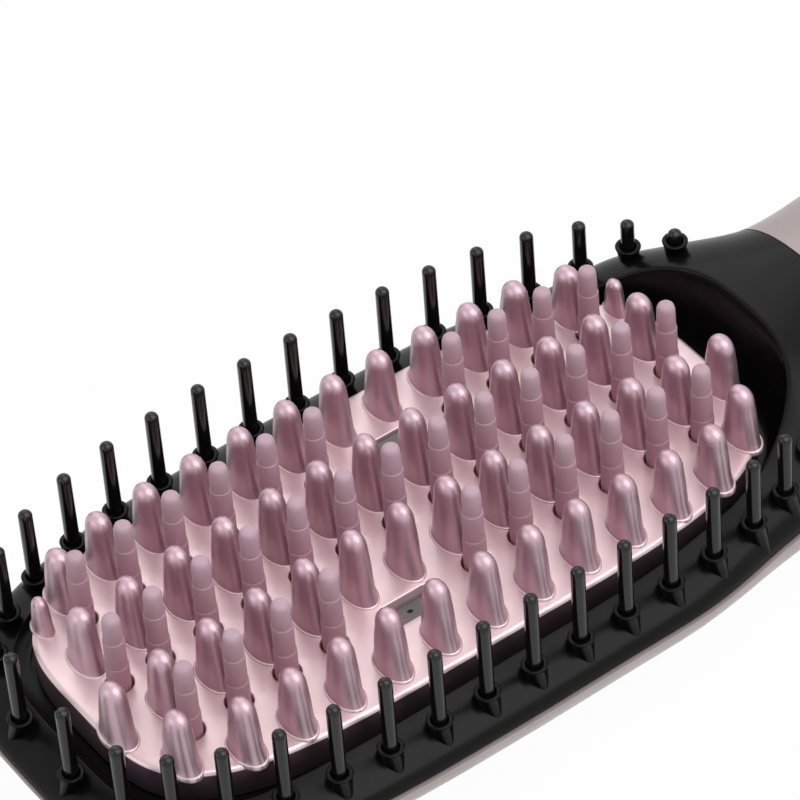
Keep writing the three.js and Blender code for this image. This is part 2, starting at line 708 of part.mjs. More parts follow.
// Boss with a blind hole, hanging from a cover down to the boss of the back shell
function hangingBoss({ x, y }, top) {
  return cylinder(x, y, CASE_BOSS.meet, top, CASE_BOSS.radius - CASE_BOSS.step)
    .subtract(cylinder(x, y, CASE_BOSS.meet - 1, CASE_BOSS.meet + 5, SCREW.shaft + GAP, SMALL_ROUND));
}

// Black frame and neck with a collared hole for each guard pin
function frontFrame() {
  const nose = [at(-EDGE.tip, 0, seamHeight(-EDGE.tip))];
  const body = skin([nose, ...stations(0, 1, NECK_END).map((x) => topSection(x, 0))]);
  const inside = skin(stations(WALL, 1, NECK_END + 3).map((x) => {
    const half = halfWidth(x, WALL);
    const low = SEAM - 6;
    return [...topSection(x, WALL, INSIDE_STEPS), at(x, -half, low), at(x, half, low)];
  }));
  const hollow = inside.subtract(plateWell(RIM_WALL, SEAM - 7));
  const skirt = outlineBlock(PLATE, PLATE_GAP + RIM_WALL, LEDGE_TOP - LEDGE.thickness, LEDGE_TOP + 0.5);
  const opening = outlineBlock(PLATE, -LEDGE.width, SEAM - 8, PLATE_CROWN);
  const bosses = CASE_SCREWS.filter(({ x }) => x < NECK_END).map((screw) => (
    hangingBoss(screw, LEDGE_TOP)
  ));
  const shell = body.subtract(hollow).add(skirt).subtract(plateWell(0, LEDGE_TOP))
    .subtract(opening);
  const collars = PINS.map(([x, y]) => {
    const top = topHeight(x, y) + COLLAR.above;
    const round = oval(x, y, top, COLLAR.footRadius).map((p) => topHeight(p.x, p.y));
    return turned(x, y, [
      [Math.min(...round) - 0.3, COLLAR.footRadius], [top, COLLAR.lipRadius],
    ], SMALL_ROUND);
  });
  const holes = PINS.map(([x, y]) => (
    cylinder(x, y, SEAM - 2, PLATE_CROWN + 20, PIN_RADIUS + GAP, SMALL_ROUND)
  ));
  return joined([shell, ...collars, ...bosses]).subtract(joined(holes));
}

// Crowned sheet over the handle, of a given thickness
function handleSheet(thickness) {
  const from = NECK_END + GAP;
  const along = [from, ...stations(0, 1, TAIL).filter((x) => x > from + 1)];
  return sheet(along.map((x) => topSection(x, 0)), along.map((x) => topSection(x, thickness)));
}

// Handle cover with its window and button holes
function handleFront() {
  const shell = handleSheet(WALL);
  const window = block(
    WINDOW.alongX, 0, HANDLE_SEAM + 6, 60,
    WINDOW.length + 2 * GAP, WINDOW.width + 2 * GAP, WINDOW.corner,
  );
  const holes = BUTTONS.map(({ alongX: x, halfLength, halfWidth: half }) => (
    turned(x, 0, [[HANDLE_SEAM, halfLength + GAP, half + GAP], [60, halfLength + GAP, half + GAP]], BUTTON_SIDES)
  ));
  const bosses = CASE_SCREWS.filter(({ x }) => x > NECK_END).map((screw) => (
    hangingBoss(screw, topHeight(screw.x, screw.y) - WALL / 2)
  ));
  return joined([shell, ...bosses]).subtract(joined([window, ...holes]));
}

// Back shell of head and handle, with the bosses for screws and circuit board
function backShell() {
  const along = (inset) => [
    -(EDGE.tip - inset + SHELL_OVERHANG), ...stations(inset - SHELL_OVERHANG, 1, TAIL),
  ];
  const shell = sheet(
    along(0).map((x) => backSection(x, 0)),
    along(WALL).map((x) => backSection(x, WALL)),
  );
  const caseBosses = CASE_SCREWS.map(({ x, y }) => (
    cylinder(x, y, backHeight(x, y) + 1, CASE_BOSS.meet - GAP, CASE_BOSS.radius)
  ));
  const boardPosts = BOARD_SCREWS.map(({ x, y }) => (
    cylinder(x, y, backHeight(x, y) + 1, BOARD.under - GAP, 2.4)
      .subtract(cylinder(x, y, BOARD.under - 6, BOARD.under, SCREW.shaft + GAP, SMALL_ROUND))
  ));
  const bores = CASE_SCREWS.flatMap((screw) => [
    cylinder(screw.x, screw.y, -1, CASE_BOSS.meet + 1, SCREW.shaft + GAP, SMALL_ROUND),
    cylinder(screw.x, screw.y, -1, seatHeight(screw) + GAP, SCREW.head + GAP),
  ]);
  return joined([shell, ...caseBosses, ...boardPosts]).subtract(joined(bores));
}

const BOARD_SCREWS = [
  { name: 'board_screw_1', x: BOARD_START + 4, y: BOARD.halfWidth - 4 },
  { name: 'board_screw_2', x: BOARD_END - 4, y: -(BOARD.halfWidth - 4) },
];

function controlBoard() {
  const length = BOARD_END - BOARD_START;
  const middle = (BOARD_START + BOARD_END) / 2;
  const holes = BOARD_SCREWS.map(({ x, y }) => (
    cylinder(x, y, BOARD.under - 1, BOARD_TOP + 1, SCREW.shaft + GAP, SMALL_ROUND)
  ));
  return block(middle, 0, BOARD.under, BOARD_TOP, length, 2 * BOARD.halfWidth)
    .subtract(joined(holes));
}

// A screw: its head at the low end when it is driven upwards
function screwUp(x, y, headLow, tip) {
  return turned(x, y, [
    [headLow, SCREW.head], [headLow + SCREW.headLength, SCREW.head],
  ]).add(cylinder(x, y, headLow + 0.5, tip, SCREW.shaft, SMALL_ROUND));
}

function screwDown(x, y, headTop, tip) {
  return cylinder(x, y, headTop - SCREW.headLength, headTop, SCREW.head)
    .add(cylinder(x, y, tip, headTop - 0.5, SCREW.shaft, SMALL_ROUND));
}

// Underside of the handle cover over a circle round x
const coverUnder = (x, reach) => topHeight(x, reach, WALL);

const switchTop = BOARD_TOP + GAP + SWITCH.height;
const plungerTop = switchTop + SWITCH.plunger;

function tactSwitch(x) {
  return block(x, 0, BOARD_TOP + GAP, switchTop, SWITCH.side, SWITCH.side)
    .add(cylinder(x, 0, switchTop - 0.5, plungerTop, SWITCH.plungerRadius));
}

// Button: a crowned cap, the flange that keeps it in and the stem over its switch
function button({ alongX: x, halfLength, halfWidth: half }) {
  const flangeTop = coverUnder(x, half + BUTTON_FLANGE.extra) - GAP;
  const flangeLow = flangeTop - BUTTON_FLANGE.thickness;
  const capTop = topHeight(x, 0) + BUTTON_PROUD;
  const stemLow = plungerTop + BUTTON_TRAVEL + 0.1;
  const cap = turned(x, 0, [
    [flangeLow, halfLength, half],
    [capTop - 0.7, halfLength, half],
    [capTop, halfLength - 0.9, half - 0.9],
  ], BUTTON_SIDES);
  const flange = turned(x, 0, [
    [flangeLow, halfLength + BUTTON_FLANGE.extra, half + BUTTON_FLANGE.extra],
    [flangeTop, halfLength + BUTTON_FLANGE.extra, half + BUTTON_FLANGE.extra],
  ], BUTTON_SIDES);
  return joined([cap, flange, cylinder(x, 0, stemLow, flangeLow + 0.5, 1.8)]);
}

// Smoked window that follows the crown of the handle
function displayWindow() {
  const outline = block(
    WINDOW.alongX, 0, HANDLE_SEAM + 6, 60, WINDOW.length, WINDOW.width, WINDOW.corner - GAP,
  );
  return handleSheet(WINDOW.thickness).intersect(outline);
}

const displayModule = () => block(
  WINDOW.alongX, 0, BOARD_TOP + GAP,
  coverUnder(WINDOW.alongX, WINDOW.width / 2) - 1.5, WINDOW.length - 6, WINDOW.width - 3,
);

// Tail cap that closes both shells and carries the swivelling gland
function endCap() {
  const from = TAIL + GAP;
  const scale = [[0, 1], [0.45, 0.95], [0.8, 0.8], [1, 0.55]];
  const rings = scale.map(([t, share]) => {
    const over = topSection(TAIL, 0);
    const under = backSection(TAIL, SHELL_OVERHANG).slice(1, -1);
    return [...over, ...under].map((p) => at(
      from + t * (CAP_LENGTH - GAP),
      p.y * share,
      glandHeight + (p.z - glandHeight) * share,
    ));
  });
  const bore = lying(GLAND.radius + GAP, TAIL - 1, TAIL + CAP_LENGTH + 1);
  const pocket = lying(GLAND.flange + GAP, TAIL - 1, TAIL + GAP + GLAND.flangeLength + GAP);
  return skin(rings).subtract(bore).subtract(pocket);
}

// Middle height of the tail, where the gland turns
const glandHeight = (topHeight(TAIL, 0) + backHeight(TAIL, 0)) / 2;

// A cylinder lying along X on the axis of the gland
function lying(radius, from, to, sides = BUTTON_SIDES) {
  const ring = (x) => Array.from({ length: sides }, (_, i) => {
    const angle = (i / sides) * 2 * Math.PI;
    return at(x, radius * Math.cos(angle), glandHeight + radius * Math.sin(angle));
  });
  return skin([ring(from), ring(to)]);
}

// Swivelling cord gland: a flanged sleeve with the bore that the cord goes in by
function cordGland() {
  const end = TAIL + CAP_LENGTH + GLAND.length;
  const flangeFrom = TAIL + GAP;
  return lying(GLAND.radius, flangeFrom, end)
    .add(lying(GLAND.flange, flangeFrom, flangeFrom + GLAND.flangeLength))
    .subtract(lying(GLAND.bore, TAIL - 1, end + 1, 12));
}

// Insulated lead from a heater through the neck to the circuit board
function heaterLead(side) {
  const y = heaterY(side);
  const start = HEATER_END + GAP;
  const mid = HEATER_TOP - HEATER.thickness / 2;
  const path = new THREE.CatmullRomCurve3([
    at(start, y, mid), at(start + 1, y, mid - 0.4), at(LEAD_DROP, y, CLAMP_TOP),
    at(LEAD_DROP, y, CLAMP_UNDER - 2), at(POST_PLACE - 1.5, y, CLAMP_UNDER - 3.8),
    at(NECK_END - 11, side * (LEAD.aside - 0.5), LEAD.low),
    at(NECK_END + 1, side * LEAD.aside, LEAD.low + 1.9),
    at(BOARD_START - 4, side * (LEAD.aside - 1), BOARD.under + 0.8),
    at(BOARD_START - GAP, side * (LEAD.aside - 1), BOARD.under + 0.8),
  ]);
  const section = new THREE.Shape();
  section.absarc(0, 0, LEAD.radius, 0, 2 * Math.PI);
  const options = { steps: 14, extrudePath: path, curveSegments: 3 };
  return solid(new THREE.ExtrudeGeometry(section, options));
}

// Assembly

const brush = new THREE.Group();

brush.add(piece('heating_plate', heatingPlate(), ROSE_METAL));
for (const row of BRISTLE_ROWS) brush.add(piece(row.name, bristleStrip(row), MATTE_ROSE));
brush.add(piece('outer_pin_ring', outerPinRing(), GLOSS_BLACK));
brush.add(piece('front_frame', frontFrame(), GLOSS_BLACK));
brush.add(piece('handle_front', handleFront(), PEARL));
brush.add(piece('back_shell', backShell(), PEARL));

for (const outlet of ION_OUTLETS) {
  brush.add(piece(`ion_outlet_${outlet.name}`, ionOutlet(outlet), DARK_GREY));
  brush.add(piece(`ion_emitter_${outlet.name}`, ionEmitter(outlet), STEEL));
}
for (const [name, side] of [['far', 1], ['near', -1]]) {
  brush.add(piece(`heater_${name}`, heater(side), ALUMINIUM));
  brush.add(piece(`heater_lead_${name}`, heaterLead(side), LEAD_RED));
}
brush.add(piece('heater_clamp', heaterClamp(), MICA));
clampPosts.forEach(({ x, y }, i) => {
  const head = CLAMP_UNDER - GAP - SCREW.headLength;
  brush.add(piece(`clamp_screw_${i + 1}`, screwUp(x, y, head, PLATE_UNDER - 1), STEEL));
});

const sensorHeight = CLAMP_UNDER - GAP;
brush.add(piece('thermal_fuse', block(
  0, heaterY(1), sensorHeight - FUSE.height, sensorHeight, FUSE.length, FUSE.width, 0.8,
), ALUMINIUM));
brush.add(piece('thermistor', block(
  0, heaterY(-1), sensorHeight - THERMISTOR.height, sensorHeight,
  THERMISTOR.length, THERMISTOR.width, 0.6,
), STEEL));
const ionFloor = backHeight(ION_MODULE.alongX - ION_MODULE.length / 2, 0, WALL) + GAP;
brush.add(piece('ion_module', block(
  ION_MODULE.alongX, 0, ionFloor, ionFloor + ION_MODULE.height,
  ION_MODULE.length, ION_MODULE.width, 1,
), DARK_GREY));

brush.add(piece('display_window', displayWindow(), SMOKED));
brush.add(piece('display_module', displayModule(), DARK_GREY));
brush.add(piece('control_board', controlBoard(), BOARD_GREEN));
for (const one of BUTTONS) {
  brush.add(piece(`${one.name}_button`, button(one), finish(one.colour, 0.35)));
  brush.add(piece(`${one.name}_switch`, tactSwitch(one.alongX), DARK_GREY));
}
for (const { name, x, y } of BOARD_SCREWS) {
  const head = BOARD_TOP + GAP + SCREW.headLength;
  brush.add(piece(name, screwDown(x, y, head, BOARD.under - 5), STEEL));
}
for (const screw of CASE_SCREWS) {
  const head = seatHeight(screw) - SCREW.headLength;
  brush.add(piece(screw.name, screwUp(screw.x, screw.y, head, CASE_BOSS.meet + 4.5), STEEL));
}

brush.add(piece('end_cap', endCap(), GLOSS_BLACK));
brush.add(piece('cord_gland', cordGland(), GLOSS_BLACK));

export default brush;
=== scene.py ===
"""Hair straightening brush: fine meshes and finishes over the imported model."""

import logging
import math
from collections.abc import Callable, Mapping, Sequence
from dataclasses import dataclass
from enum import Enum

import bmesh
import bpy
import numpy as np
from mathutils import Matrix, Vector
from mathutils.geometry import delaunay_2d_cdt


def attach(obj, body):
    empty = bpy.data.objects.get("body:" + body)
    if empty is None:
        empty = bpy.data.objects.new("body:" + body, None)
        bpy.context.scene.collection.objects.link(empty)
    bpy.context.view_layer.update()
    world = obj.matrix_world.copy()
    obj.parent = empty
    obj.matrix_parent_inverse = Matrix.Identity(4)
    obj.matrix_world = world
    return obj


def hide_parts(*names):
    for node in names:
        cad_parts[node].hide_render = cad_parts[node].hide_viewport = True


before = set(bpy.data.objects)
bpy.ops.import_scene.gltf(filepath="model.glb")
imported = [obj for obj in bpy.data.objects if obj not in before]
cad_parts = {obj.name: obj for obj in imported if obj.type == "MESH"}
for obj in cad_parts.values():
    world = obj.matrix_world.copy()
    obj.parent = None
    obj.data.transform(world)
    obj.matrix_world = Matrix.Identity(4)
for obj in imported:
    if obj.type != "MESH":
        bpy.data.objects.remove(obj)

log = logging.getLogger("brush")

MM = 0.001
Points = np.ndarray
Face = tuple[int, ...]

# Quarters of a rounded outline in the order of their angles, and corners of a block
QUARTERS = ((1, 1), (-1, 1), (-1, -1), (1, -1))
CORNERS = ((-1, -1), (1, -1), (1, 1), (-1, 1))


# Plain shapes


def smooth_line(table: Sequence[tuple[float, float]], x: Points | float) -> Points:
    """Read a smooth curve through stations.

    Args:
        table: Pairs of place and value, in rising order.
        x: Places to read.

    Returns:
        The values at those places.
    """
    places, values = np.array(table, float).T
    inner = (values[2:] - values[:-2]) / (places[2:] - places[:-2])
    first = (values[1] - values[0]) / (places[1] - places[0])
    last = (values[-1] - values[-2]) / (places[-1] - places[-2])
    slopes = np.concatenate([[first], inner, [last]])
    x = np.clip(np.asarray(x, float), places[0], places[-1])
    i = np.clip(np.searchsorted(places, x, side="right") - 1, 0, len(places) - 2)
    span = places[i + 1] - places[i]
    t = (x - places[i]) / span
    return (
        (1 + 2 * t) * (1 - t) ** 2 * values[i]
        + t * (1 - t) ** 2 * span * slopes[i]
        + t * t * (3 - 2 * t) * values[i + 1]
        + t * t * (t - 1) * span * slopes[i + 1]
    )


def ease(x: Points | float, start: float, end: float) -> Points:
    """Smooth step from 0 at start to 1 at end.

    Args:
        x: Places to read.
        start: Where it leaves 0.
        end: Where it reaches 1.

    Returns:
        Shares from 0 to 1.
    """
    t = np.clip((np.asarray(x, float) - start) / (end - start), 0, 1)
    return t * t * (3 - 2 * t)


def circle(sides: int) -> Points:
    """Corners of a circle of radius 1 in plan, anticlockwise from +X."""
    angle = np.linspace(0, 2 * math.pi, sides, endpoint=False)
    return np.column_stack([np.cos(angle), np.sin(angle)])


def rounded_box(along: float, across: float, corner: float, count: int = 8) -> Points:
    """Outline of a box with round corners in plan, about its own middle.

    Args:
        along: Half its length.
        across: Half its width.
        corner: Radius of its corners.
        count: Points in each corner.

    Returns:
        Points, anticlockwise.
    """
    found = []
    for turn, (sx, sy) in enumerate(QUARTERS):
        angles = np.linspace(0, math.pi / 2, count) + turn * math.pi / 2
        found.append(np.column_stack([
            sx * (along - corner) + corner * np.cos(angles),
            sy * (across - corner) + corner * np.sin(angles),
        ]))
    return np.concatenate(found)


def raised(plan: Points, height: Points | float) -> Points:
    """Lift points in plan to one height, or each to its own."""
    return np.column_stack([plan, np.broadcast_to(height, len(plan))])


@dataclass(frozen=True)
class Outline:
    """Rounded outline in plan: two half superellipses that share a width."""

    # Steps of a walk round the outline
    FINE = 14401
    COARSE = 1441

    neck: float
    tip: float
    half: float
    neck_power: float = 4.0
    tip_power: float = 4.0

    def points(self, angles: Points, grow: float = 0.0) -> Points:
        """Points at given angles.

        Args:
            angles: Angles in radians, anticlockwise from the neck.
            grow: How far outside the outline the points lie.

        Returns:
            One x, y pair for each angle.
        """
        c, s = np.cos(angles), np.sin(angles)
        reach = np.where(c >= 0, self.neck, self.tip) + grow
        power = np.where(c >= 0, self.neck_power, self.tip_power)
        x = reach * np.sign(c) * np.abs(c) ** (2 / power)
        y = (self.half + grow) * np.sign(s) * np.abs(s) ** (2 / power)
        return np.stack([x, y], axis=-1)

    def measured(self, count: int) -> tuple[Points, Points, Points]:
        """Walk once round the outline from the middle of the neck.

        Args:
            count: How many angles are read.

        Returns:
            The angles, their points and the arc length up to each.
        """
        angles = np.linspace(0, 2 * math.pi, count)
        points = self.points(angles)
        steps = np.linalg.norm(np.diff(points, axis=0), axis=1)
        return angles, points, np.concatenate([[0], np.cumsum(steps)])

    def even_angles(self, count: int) -> Points:
        """Angles, from 0 towards a full turn, whose points are evenly spaced."""
        angles, _, length = self.measured(self.FINE)
        return np.interp(np.arange(count) / count * length[-1], length, angles)

    def half_at(self, x: Points | float) -> Points:
        """Half width of the outline at places along X."""
        x = np.asarray(x, float)
        reach = np.where(x >= 0, self.neck, self.tip)
        power = np.where(x >= 0, self.neck_power, self.tip_power)
        return self.half * (1 - np.clip(np.abs(x) / reach, 0, 1) ** power) ** (1 / power)

    def walk(self, stops: Sequence[float]) -> Points:
        """Points at arc lengths from the middle of the neck."""
        _, points, length = self.measured(self.COARSE)
        return np.stack([np.interp(stops, length, points[:, k]) for k in (0, 1)], axis=-1)

    def outwards(self, stops: Points) -> Points:
        """Unit vectors out of the outline at arc lengths."""
        x, y = (self.walk(stops + 0.5) - self.walk(stops)).T
        out = np.column_stack([y, -x])
        return out / np.linalg.norm(out, axis=1)[:, None]


class Side(Enum):
    """Sides of the body, and which way along Z each one faces."""

    FRONT = 1
    BACK = -1


@dataclass(frozen=True)
class BrushForm:
    """Sizes of the whole brush in millimetres, as the solids have them."""

    tooth_pitch: float = 8.0
    row_pitch: float = 13.6
    middle_column: float = 6.5
    plate_crown: float = 24.4
    plate_thickness: float = 6.4
    plate_fall: tuple[float, float] = (0.0003, 0.0013)
    tip_fall: tuple[float, float] = (0.00108, 0.0037)
    gap: float = 0.3
    wall: float = 1.8
    rim_wall: float = 1.6
    plate_gap: float = 0.6
    seam: float = 16.2
    seam_sag: float = 0.0003
    handle_seam: float = 16.0
    seam_turn: tuple[float, float] = (20.0, 80.0)
    overhang: float = 0.5
    neck_end: float = 73.0
    tail: float = 208.0
    cap_length: float = 11.0
    plate: Outline = Outline(53.8, 53.8, 25.6, 3.7, 3.7)
    crest: Outline = Outline(61.0, 56.6, 27.0, 3.0, 4.0)
    pin_line: Outline = Outline(64.5, 59.3, 30.8, 3.4, 3.4)
    edge_tip: float = 62.8
    edge_half: float = 34.5
    edge_power: float = 3.4
    half_widths: tuple[tuple[float, float], ...] = (
        (0, 0), (15, -0.3), (27, -0.6), (34, -1.5), (43, -3.4), (50, -4.7), (57, -6.6),
        (64, -10.8), (74, -16), (90, -15.4), (140, -16.3), (188, -15.8), (208, -17.4),
    )
    top_rises: tuple[tuple[float, float], ...] = (
        (0, 7), (24, 7), (34, 7.7), (46, 8.6), (52, 11), (58, 13.5), (64, 14.2),
        (74, 14.3), (90, 14.3), (140, 13.4), (188, 12.8), (208, 11.8),
    )
    top_powers: tuple[float, float] = (2.2, 2.2)
    back_powers: tuple[float, float] = (2.7, 1.55)
    handle_power: float = 2.3
    power_turn: tuple[float, float] = (30.0, 74.0)
    back_flat: float = 44.0
    back_heights: tuple[tuple[float, float], ...] = (
        (0, -0.6), (44, -0.5), (62, 0.9), (82, 2.6), (112, 2.4), (150, 0.7),
        (178, -0.3), (198, -0.3), (208, 0.6),
    )

    @property
    def plate_under(self) -> float:
        """Height of the underside of the tooth plate."""
        return self.plate_crown - self.plate_thickness

    @property
    def ledge_top(self) -> float:
        """Height of the ledge that the tooth plate lies on."""
        return self.plate_under - self.gap

    def column(self, number: float) -> float:
        """Place along X of a column of teeth."""
        return (number - self.middle_column) * self.tooth_pitch

    def plate_top(self, x: Points | float, y: Points | float) -> Points:
        """Height of the crowned top of the tooth plate."""
        along, across = self.plate_fall
        return self.plate_crown - along * x * x - across * y * y

    def tip_at(self, height: float, x: Points | float, y: Points | float) -> Points:
        """Height of the tip of something that stands so high in the middle of the plate."""
        along, across = self.tip_fall
        return self.plate_crown + height - along * x * x - across * y * y

    def seam_height(self, x: Points | float) -> Points:
        """Height of the parting line between frame and back cover."""
        x = np.asarray(x, float)
        share = ease(x, *self.seam_turn)
        return (self.seam - self.seam_sag * x * x) * (1 - share) + self.handle_seam * share

    def half_width(self, x: Points | float, inset: float = 0.0) -> Points:
        """Half width of the body at the parting line.

        Args:
            x: Places along X.
            inset: How far inside the surface, for the inner side of a wall.

        Returns:
            The half widths.
        """
        x = np.asarray(x, float)
        behind = self.edge_half - inset + smooth_line(self.half_widths, np.maximum(x, 0))
        reach = np.clip(-x / (self.edge_tip - inset), 0, 1)
        ahead = (self.edge_half - inset) * (1 - reach**self.edge_power) ** (1 / self.edge_power)
        return np.where(x >= 0, behind, ahead)

    def swell(
        self, x: Points, y: Points, head_powers: tuple[float, float], inset: float = 0.0
    ) -> Points:
        """How far the surface stands off the parting line, as a share of the middle.

        Args:
            x: Places along X.
            y: Places across.
            head_powers: How full the head's sections are, across and in height.
            inset: How far inside the surface.

        Returns:
            Shares from 0 at the edge to 1 in the middle.
        """
        x, y = np.broadcast_arrays(np.asarray(x, float), np.asarray(y, float))
        turn = ease(x, *self.power_turn)
        across_power, rise_power = (p + (self.handle_power - p) * turn for p in head_powers)
        n = self.edge_power
        width = np.maximum(self.half_width(x, inset), 1e-6)
        along = (np.maximum(-x, 0) / (self.edge_tip - inset)) ** n
        across = (np.abs(y) / (self.edge_half - inset)) ** n
        share = np.where(x >= 0, np.abs(y) / width, (along + across) ** (1 / n))
        return np.maximum(1 - share**across_power, 0) ** (1 / rise_power)

    def top_height(self, x: Points, y: Points, inset: float = 0.0) -> Points:
        """Height of the front of the body, or of a surface that far inside it."""
        rise = smooth_line(self.top_rises, np.maximum(np.asarray(x, float), 0)) - inset
        return self.seam_height(x) + rise * self.swell(x, y, self.top_powers, inset)

    def back_height(self, x: Points, y: Points, inset: float = 0.0) -> Points:
        """Height of the back of the body, or of a surface that far inside it."""
        x = np.asarray(x, float)
        low = smooth_line(self.back_heights, np.where(np.abs(x) < self.back_flat, 0, np.abs(x)))
        drop = self.seam_height(x) - low - inset
        share = self.swell(x, y, self.back_powers, inset - self.overhang)
        return np.maximum(self.seam_height(x) - drop * share, inset)

    def normals(self, side: Side, points: Points) -> tuple[Points, Points]:
        """True normals of a side of the body.

        Args:
            side: The side.
            points: Places in millimetres.

        Returns:
            Normals, and a mask of the points that lie on that side.
        """
        x, y, z = points.T
        if side is Side.FRONT:
            height, near = self.top_height, 0.01
            share = self.swell(x, y, self.top_powers)
        else:
            height, near = self.back_height, 0.02
            share = self.swell(x, y, self.back_powers, -self.overhang)
        step = 0.05
        dx = (height(x + step, y) - height(x - step, y)) / (2 * step)
        dy = (height(x, y + step) - height(x, y - step)) / (2 * step)
        normals = side.value * np.column_stack([-dx, -dy, np.ones(len(x))])
        normals /= np.linalg.norm(normals, axis=1)[:, None]
        return normals, (np.abs(height(x, y) - z) < near) & (share > 0.3)


FORM = BrushForm()


class Shapes:
    """Meshes from points in millimetres, and what is done to them."""

    @staticmethod
    def piece(name: str, points: Sequence, faces: Sequence[Face]) -> bpy.types.Object:
        """Make an object from points and faces.

        Args:
            name: Name of the object.
            points: Corners in millimetres.
            faces: Corner numbers of each face.

        Returns:
            The object, with coinciding corners merged and its faces outwards.
        """
        mesh = bpy.data.meshes.new(name)
        made = bmesh.new()
        corners = [made.verts.new(Vector(p) * MM) for p in np.asarray(points, float)]
        for face in faces:
            if len(set(face)) == len(face):
                made.faces.new([corners[i] for i in face])
        bmesh.ops.remove_doubles(made, verts=made.verts, dist=2e-6)
        bmesh.ops.dissolve_degenerate(made, edges=made.edges, dist=1e-6)
        bmesh.ops.recalc_face_normals(made, faces=made.faces)
        made.to_mesh(mesh)
        made.free()
        result = bpy.data.objects.new(name, mesh)
        bpy.context.scene.collection.objects.link(result)
        return result

    @staticmethod
    def skin(rows: Sequence[Points], loop: bool = False) -> tuple[Points, list[Face]]:
        """Join rings of points into one surface.

        Args:
            rows: Rings with the same number of points, each closed.
            loop: Whether the last ring joins the first; otherwise both ends are closed.

        Returns:
            Points and faces.
        """
        grid = np.stack([np.asarray(row, float) for row in rows])
        count, size = grid.shape[:2]
        faces: list[Face] = []
        for r in range(count if loop else count - 1):
            a, b = r * size, ((r + 1) % count) * size
            for c in range(size):
                d = (c + 1) % size
                faces.append((a + c, a + d, b + d, b + c))
        if not loop:
            faces.append(tuple(range(size))[::-1])
            faces.append(tuple((count - 1) * size + c for c in range(size)))
        return grid.reshape(-1, 3), faces

    @staticmethod
    def turned(
        name: str,
        levels: Sequence[tuple[float, ...]],
        sides: int,
        middle: tuple[float, float] = (0.0, 0.0),
    ) -> bpy.types.Object:
        """Make a turned or oval body that stands along Z.

        Args:
            name: Name of the object.
            levels: Height, half size along X and, if it differs, half size along Y.
            sides: Points round each level.
            middle: Where the axis stands.

        Returns:
            The object.
        """
        ring = circle(sides)
        rows = [raised(ring * (along, rest[0] if rest else along) + middle, z)
                for z, along, *rest in levels]
        return Shapes.piece(name, *Shapes.skin(rows))

    @staticmethod
    def block(
        name: str,
        levels: Sequence[tuple[float, float, float]],
        middle: tuple[float, float] = (0.0, 0.0),
    ) -> bpy.types.Object:
        """Make a block with square corners.

        Args:
            name: Name of the object.
            levels: Height, half length and half width.
            middle: Where its axis stands.

        Returns:
            The object.
        """
        corners = np.array(CORNERS)
        rows = [raised(corners * (along, across) + middle, z) for z, along, across in levels]
        return Shapes.piece(name, *Shapes.skin(rows))

    @staticmethod
    def sheet(name: str, outer: Points, inner: Points) -> bpy.types.Object:
        """Make a shell between two grids of points.

        Args:
            name: Name of the object.
            outer: Rows of points on the outer side.
            inner: Rows of points on the inner side, as many as outside.

        Returns:
            The object.
        """
        rows, columns = outer.shape[:2]
        o = np.arange(rows * columns).reshape(rows, columns)
        n = o + rows * columns
        faces: list[Face] = []
        for r in range(rows - 1):
            for c in range(columns - 1):
                faces.append((o[r, c], o[r, c + 1], o[r + 1, c + 1], o[r + 1, c]))
                faces.append((n[r, c], n[r + 1, c], n[r + 1, c + 1], n[r, c + 1]))
            faces.append((o[r, 0], o[r + 1, 0], n[r + 1, 0], n[r, 0]))
            faces.append((o[r, -1], n[r, -1], n[r + 1, -1], o[r + 1, -1]))
        for c in range(columns - 1):
            faces.append((o[0, c], n[0, c], n[0, c + 1], o[0, c + 1]))
            faces.append((o[-1, c], o[-1, c + 1], n[-1, c + 1], n[-1, c]))
        points = np.concatenate([outer.reshape(-1, 3), inner.reshape(-1, 3)])
        return Shapes.piece(name, points, faces)

    @staticmethod
    def evaluated(thing: bpy.types.Object) -> None:
        """Turn an object's modifiers into plain mesh and remove them."""
        graph = bpy.context.evaluated_depsgraph_get()
        made = bpy.data.meshes.new_from_object(thing.evaluated_get(graph))
        thing.modifiers.clear()
        thing.data = made

    @staticmethod
    def cut(thing: bpy.types.Object, tools: Sequence[bpy.types.Object], add: bool = False) -> None:
        """Cut tools out of a body, or join them to it.

        Args:
            thing: The body.
            tools: Closed bodies; they are removed.
            add: Join instead of cutting.
        """
        for tool in tools:
            step = thing.modifiers.new("cut", "BOOLEAN")
            step.operation = "UNION" if add else "DIFFERENCE"
            step.solver = "EXACT"
            step.object = tool
        Shapes.evaluated(thing)
        for tool in tools:
            bpy.data.objects.remove(tool)

    @staticmethod
    def soften(thing: bpy.types.Object, angle: float = 35.0, side: Side | None = None) -> None:
        """Shade a piece smooth up to an angle.

        Args:
            thing: The piece.
            angle: Edges sharper than this many degrees stay sharp.
            side: Side of the body; where the piece lies on it, the shading follows it exactly.
        """
        mesh = thing.data
        mesh.shade_smooth()
        mesh.set_sharp_from_angle(angle=math.radians(angle))
        if side is None:
            return

        def read(source: Sequence, name: str, width: int, kind: type = np.float32) -> Points:
            """One value of each element of the mesh, as rows of so many numbers."""
            found = np.zeros(len(source) * width, kind)
            source.foreach_get(name, found)
            return found.reshape(-1, width).astype(float if kind is np.float32 else int)

        corner = read(mesh.corner_normals, "vector", 3)
        owner = read(mesh.loops, "vertex_index", 1, np.int32)[:, 0]
        true, on = FORM.normals(side, read(mesh.vertices, "co", 3) / MM)
        totals = read(mesh.polygons, "loop_total", 1, np.int32)[:, 0]
        faces = np.repeat(read(mesh.polygons, "normal", 3), totals, axis=0)
        along = np.sum(faces * true[owner], axis=1)
        use = on[owner] & (along > math.cos(math.radians(angle)))
        corner[use] = true[owner][use]
        mesh.normals_split_custom_set(corner.tolist())

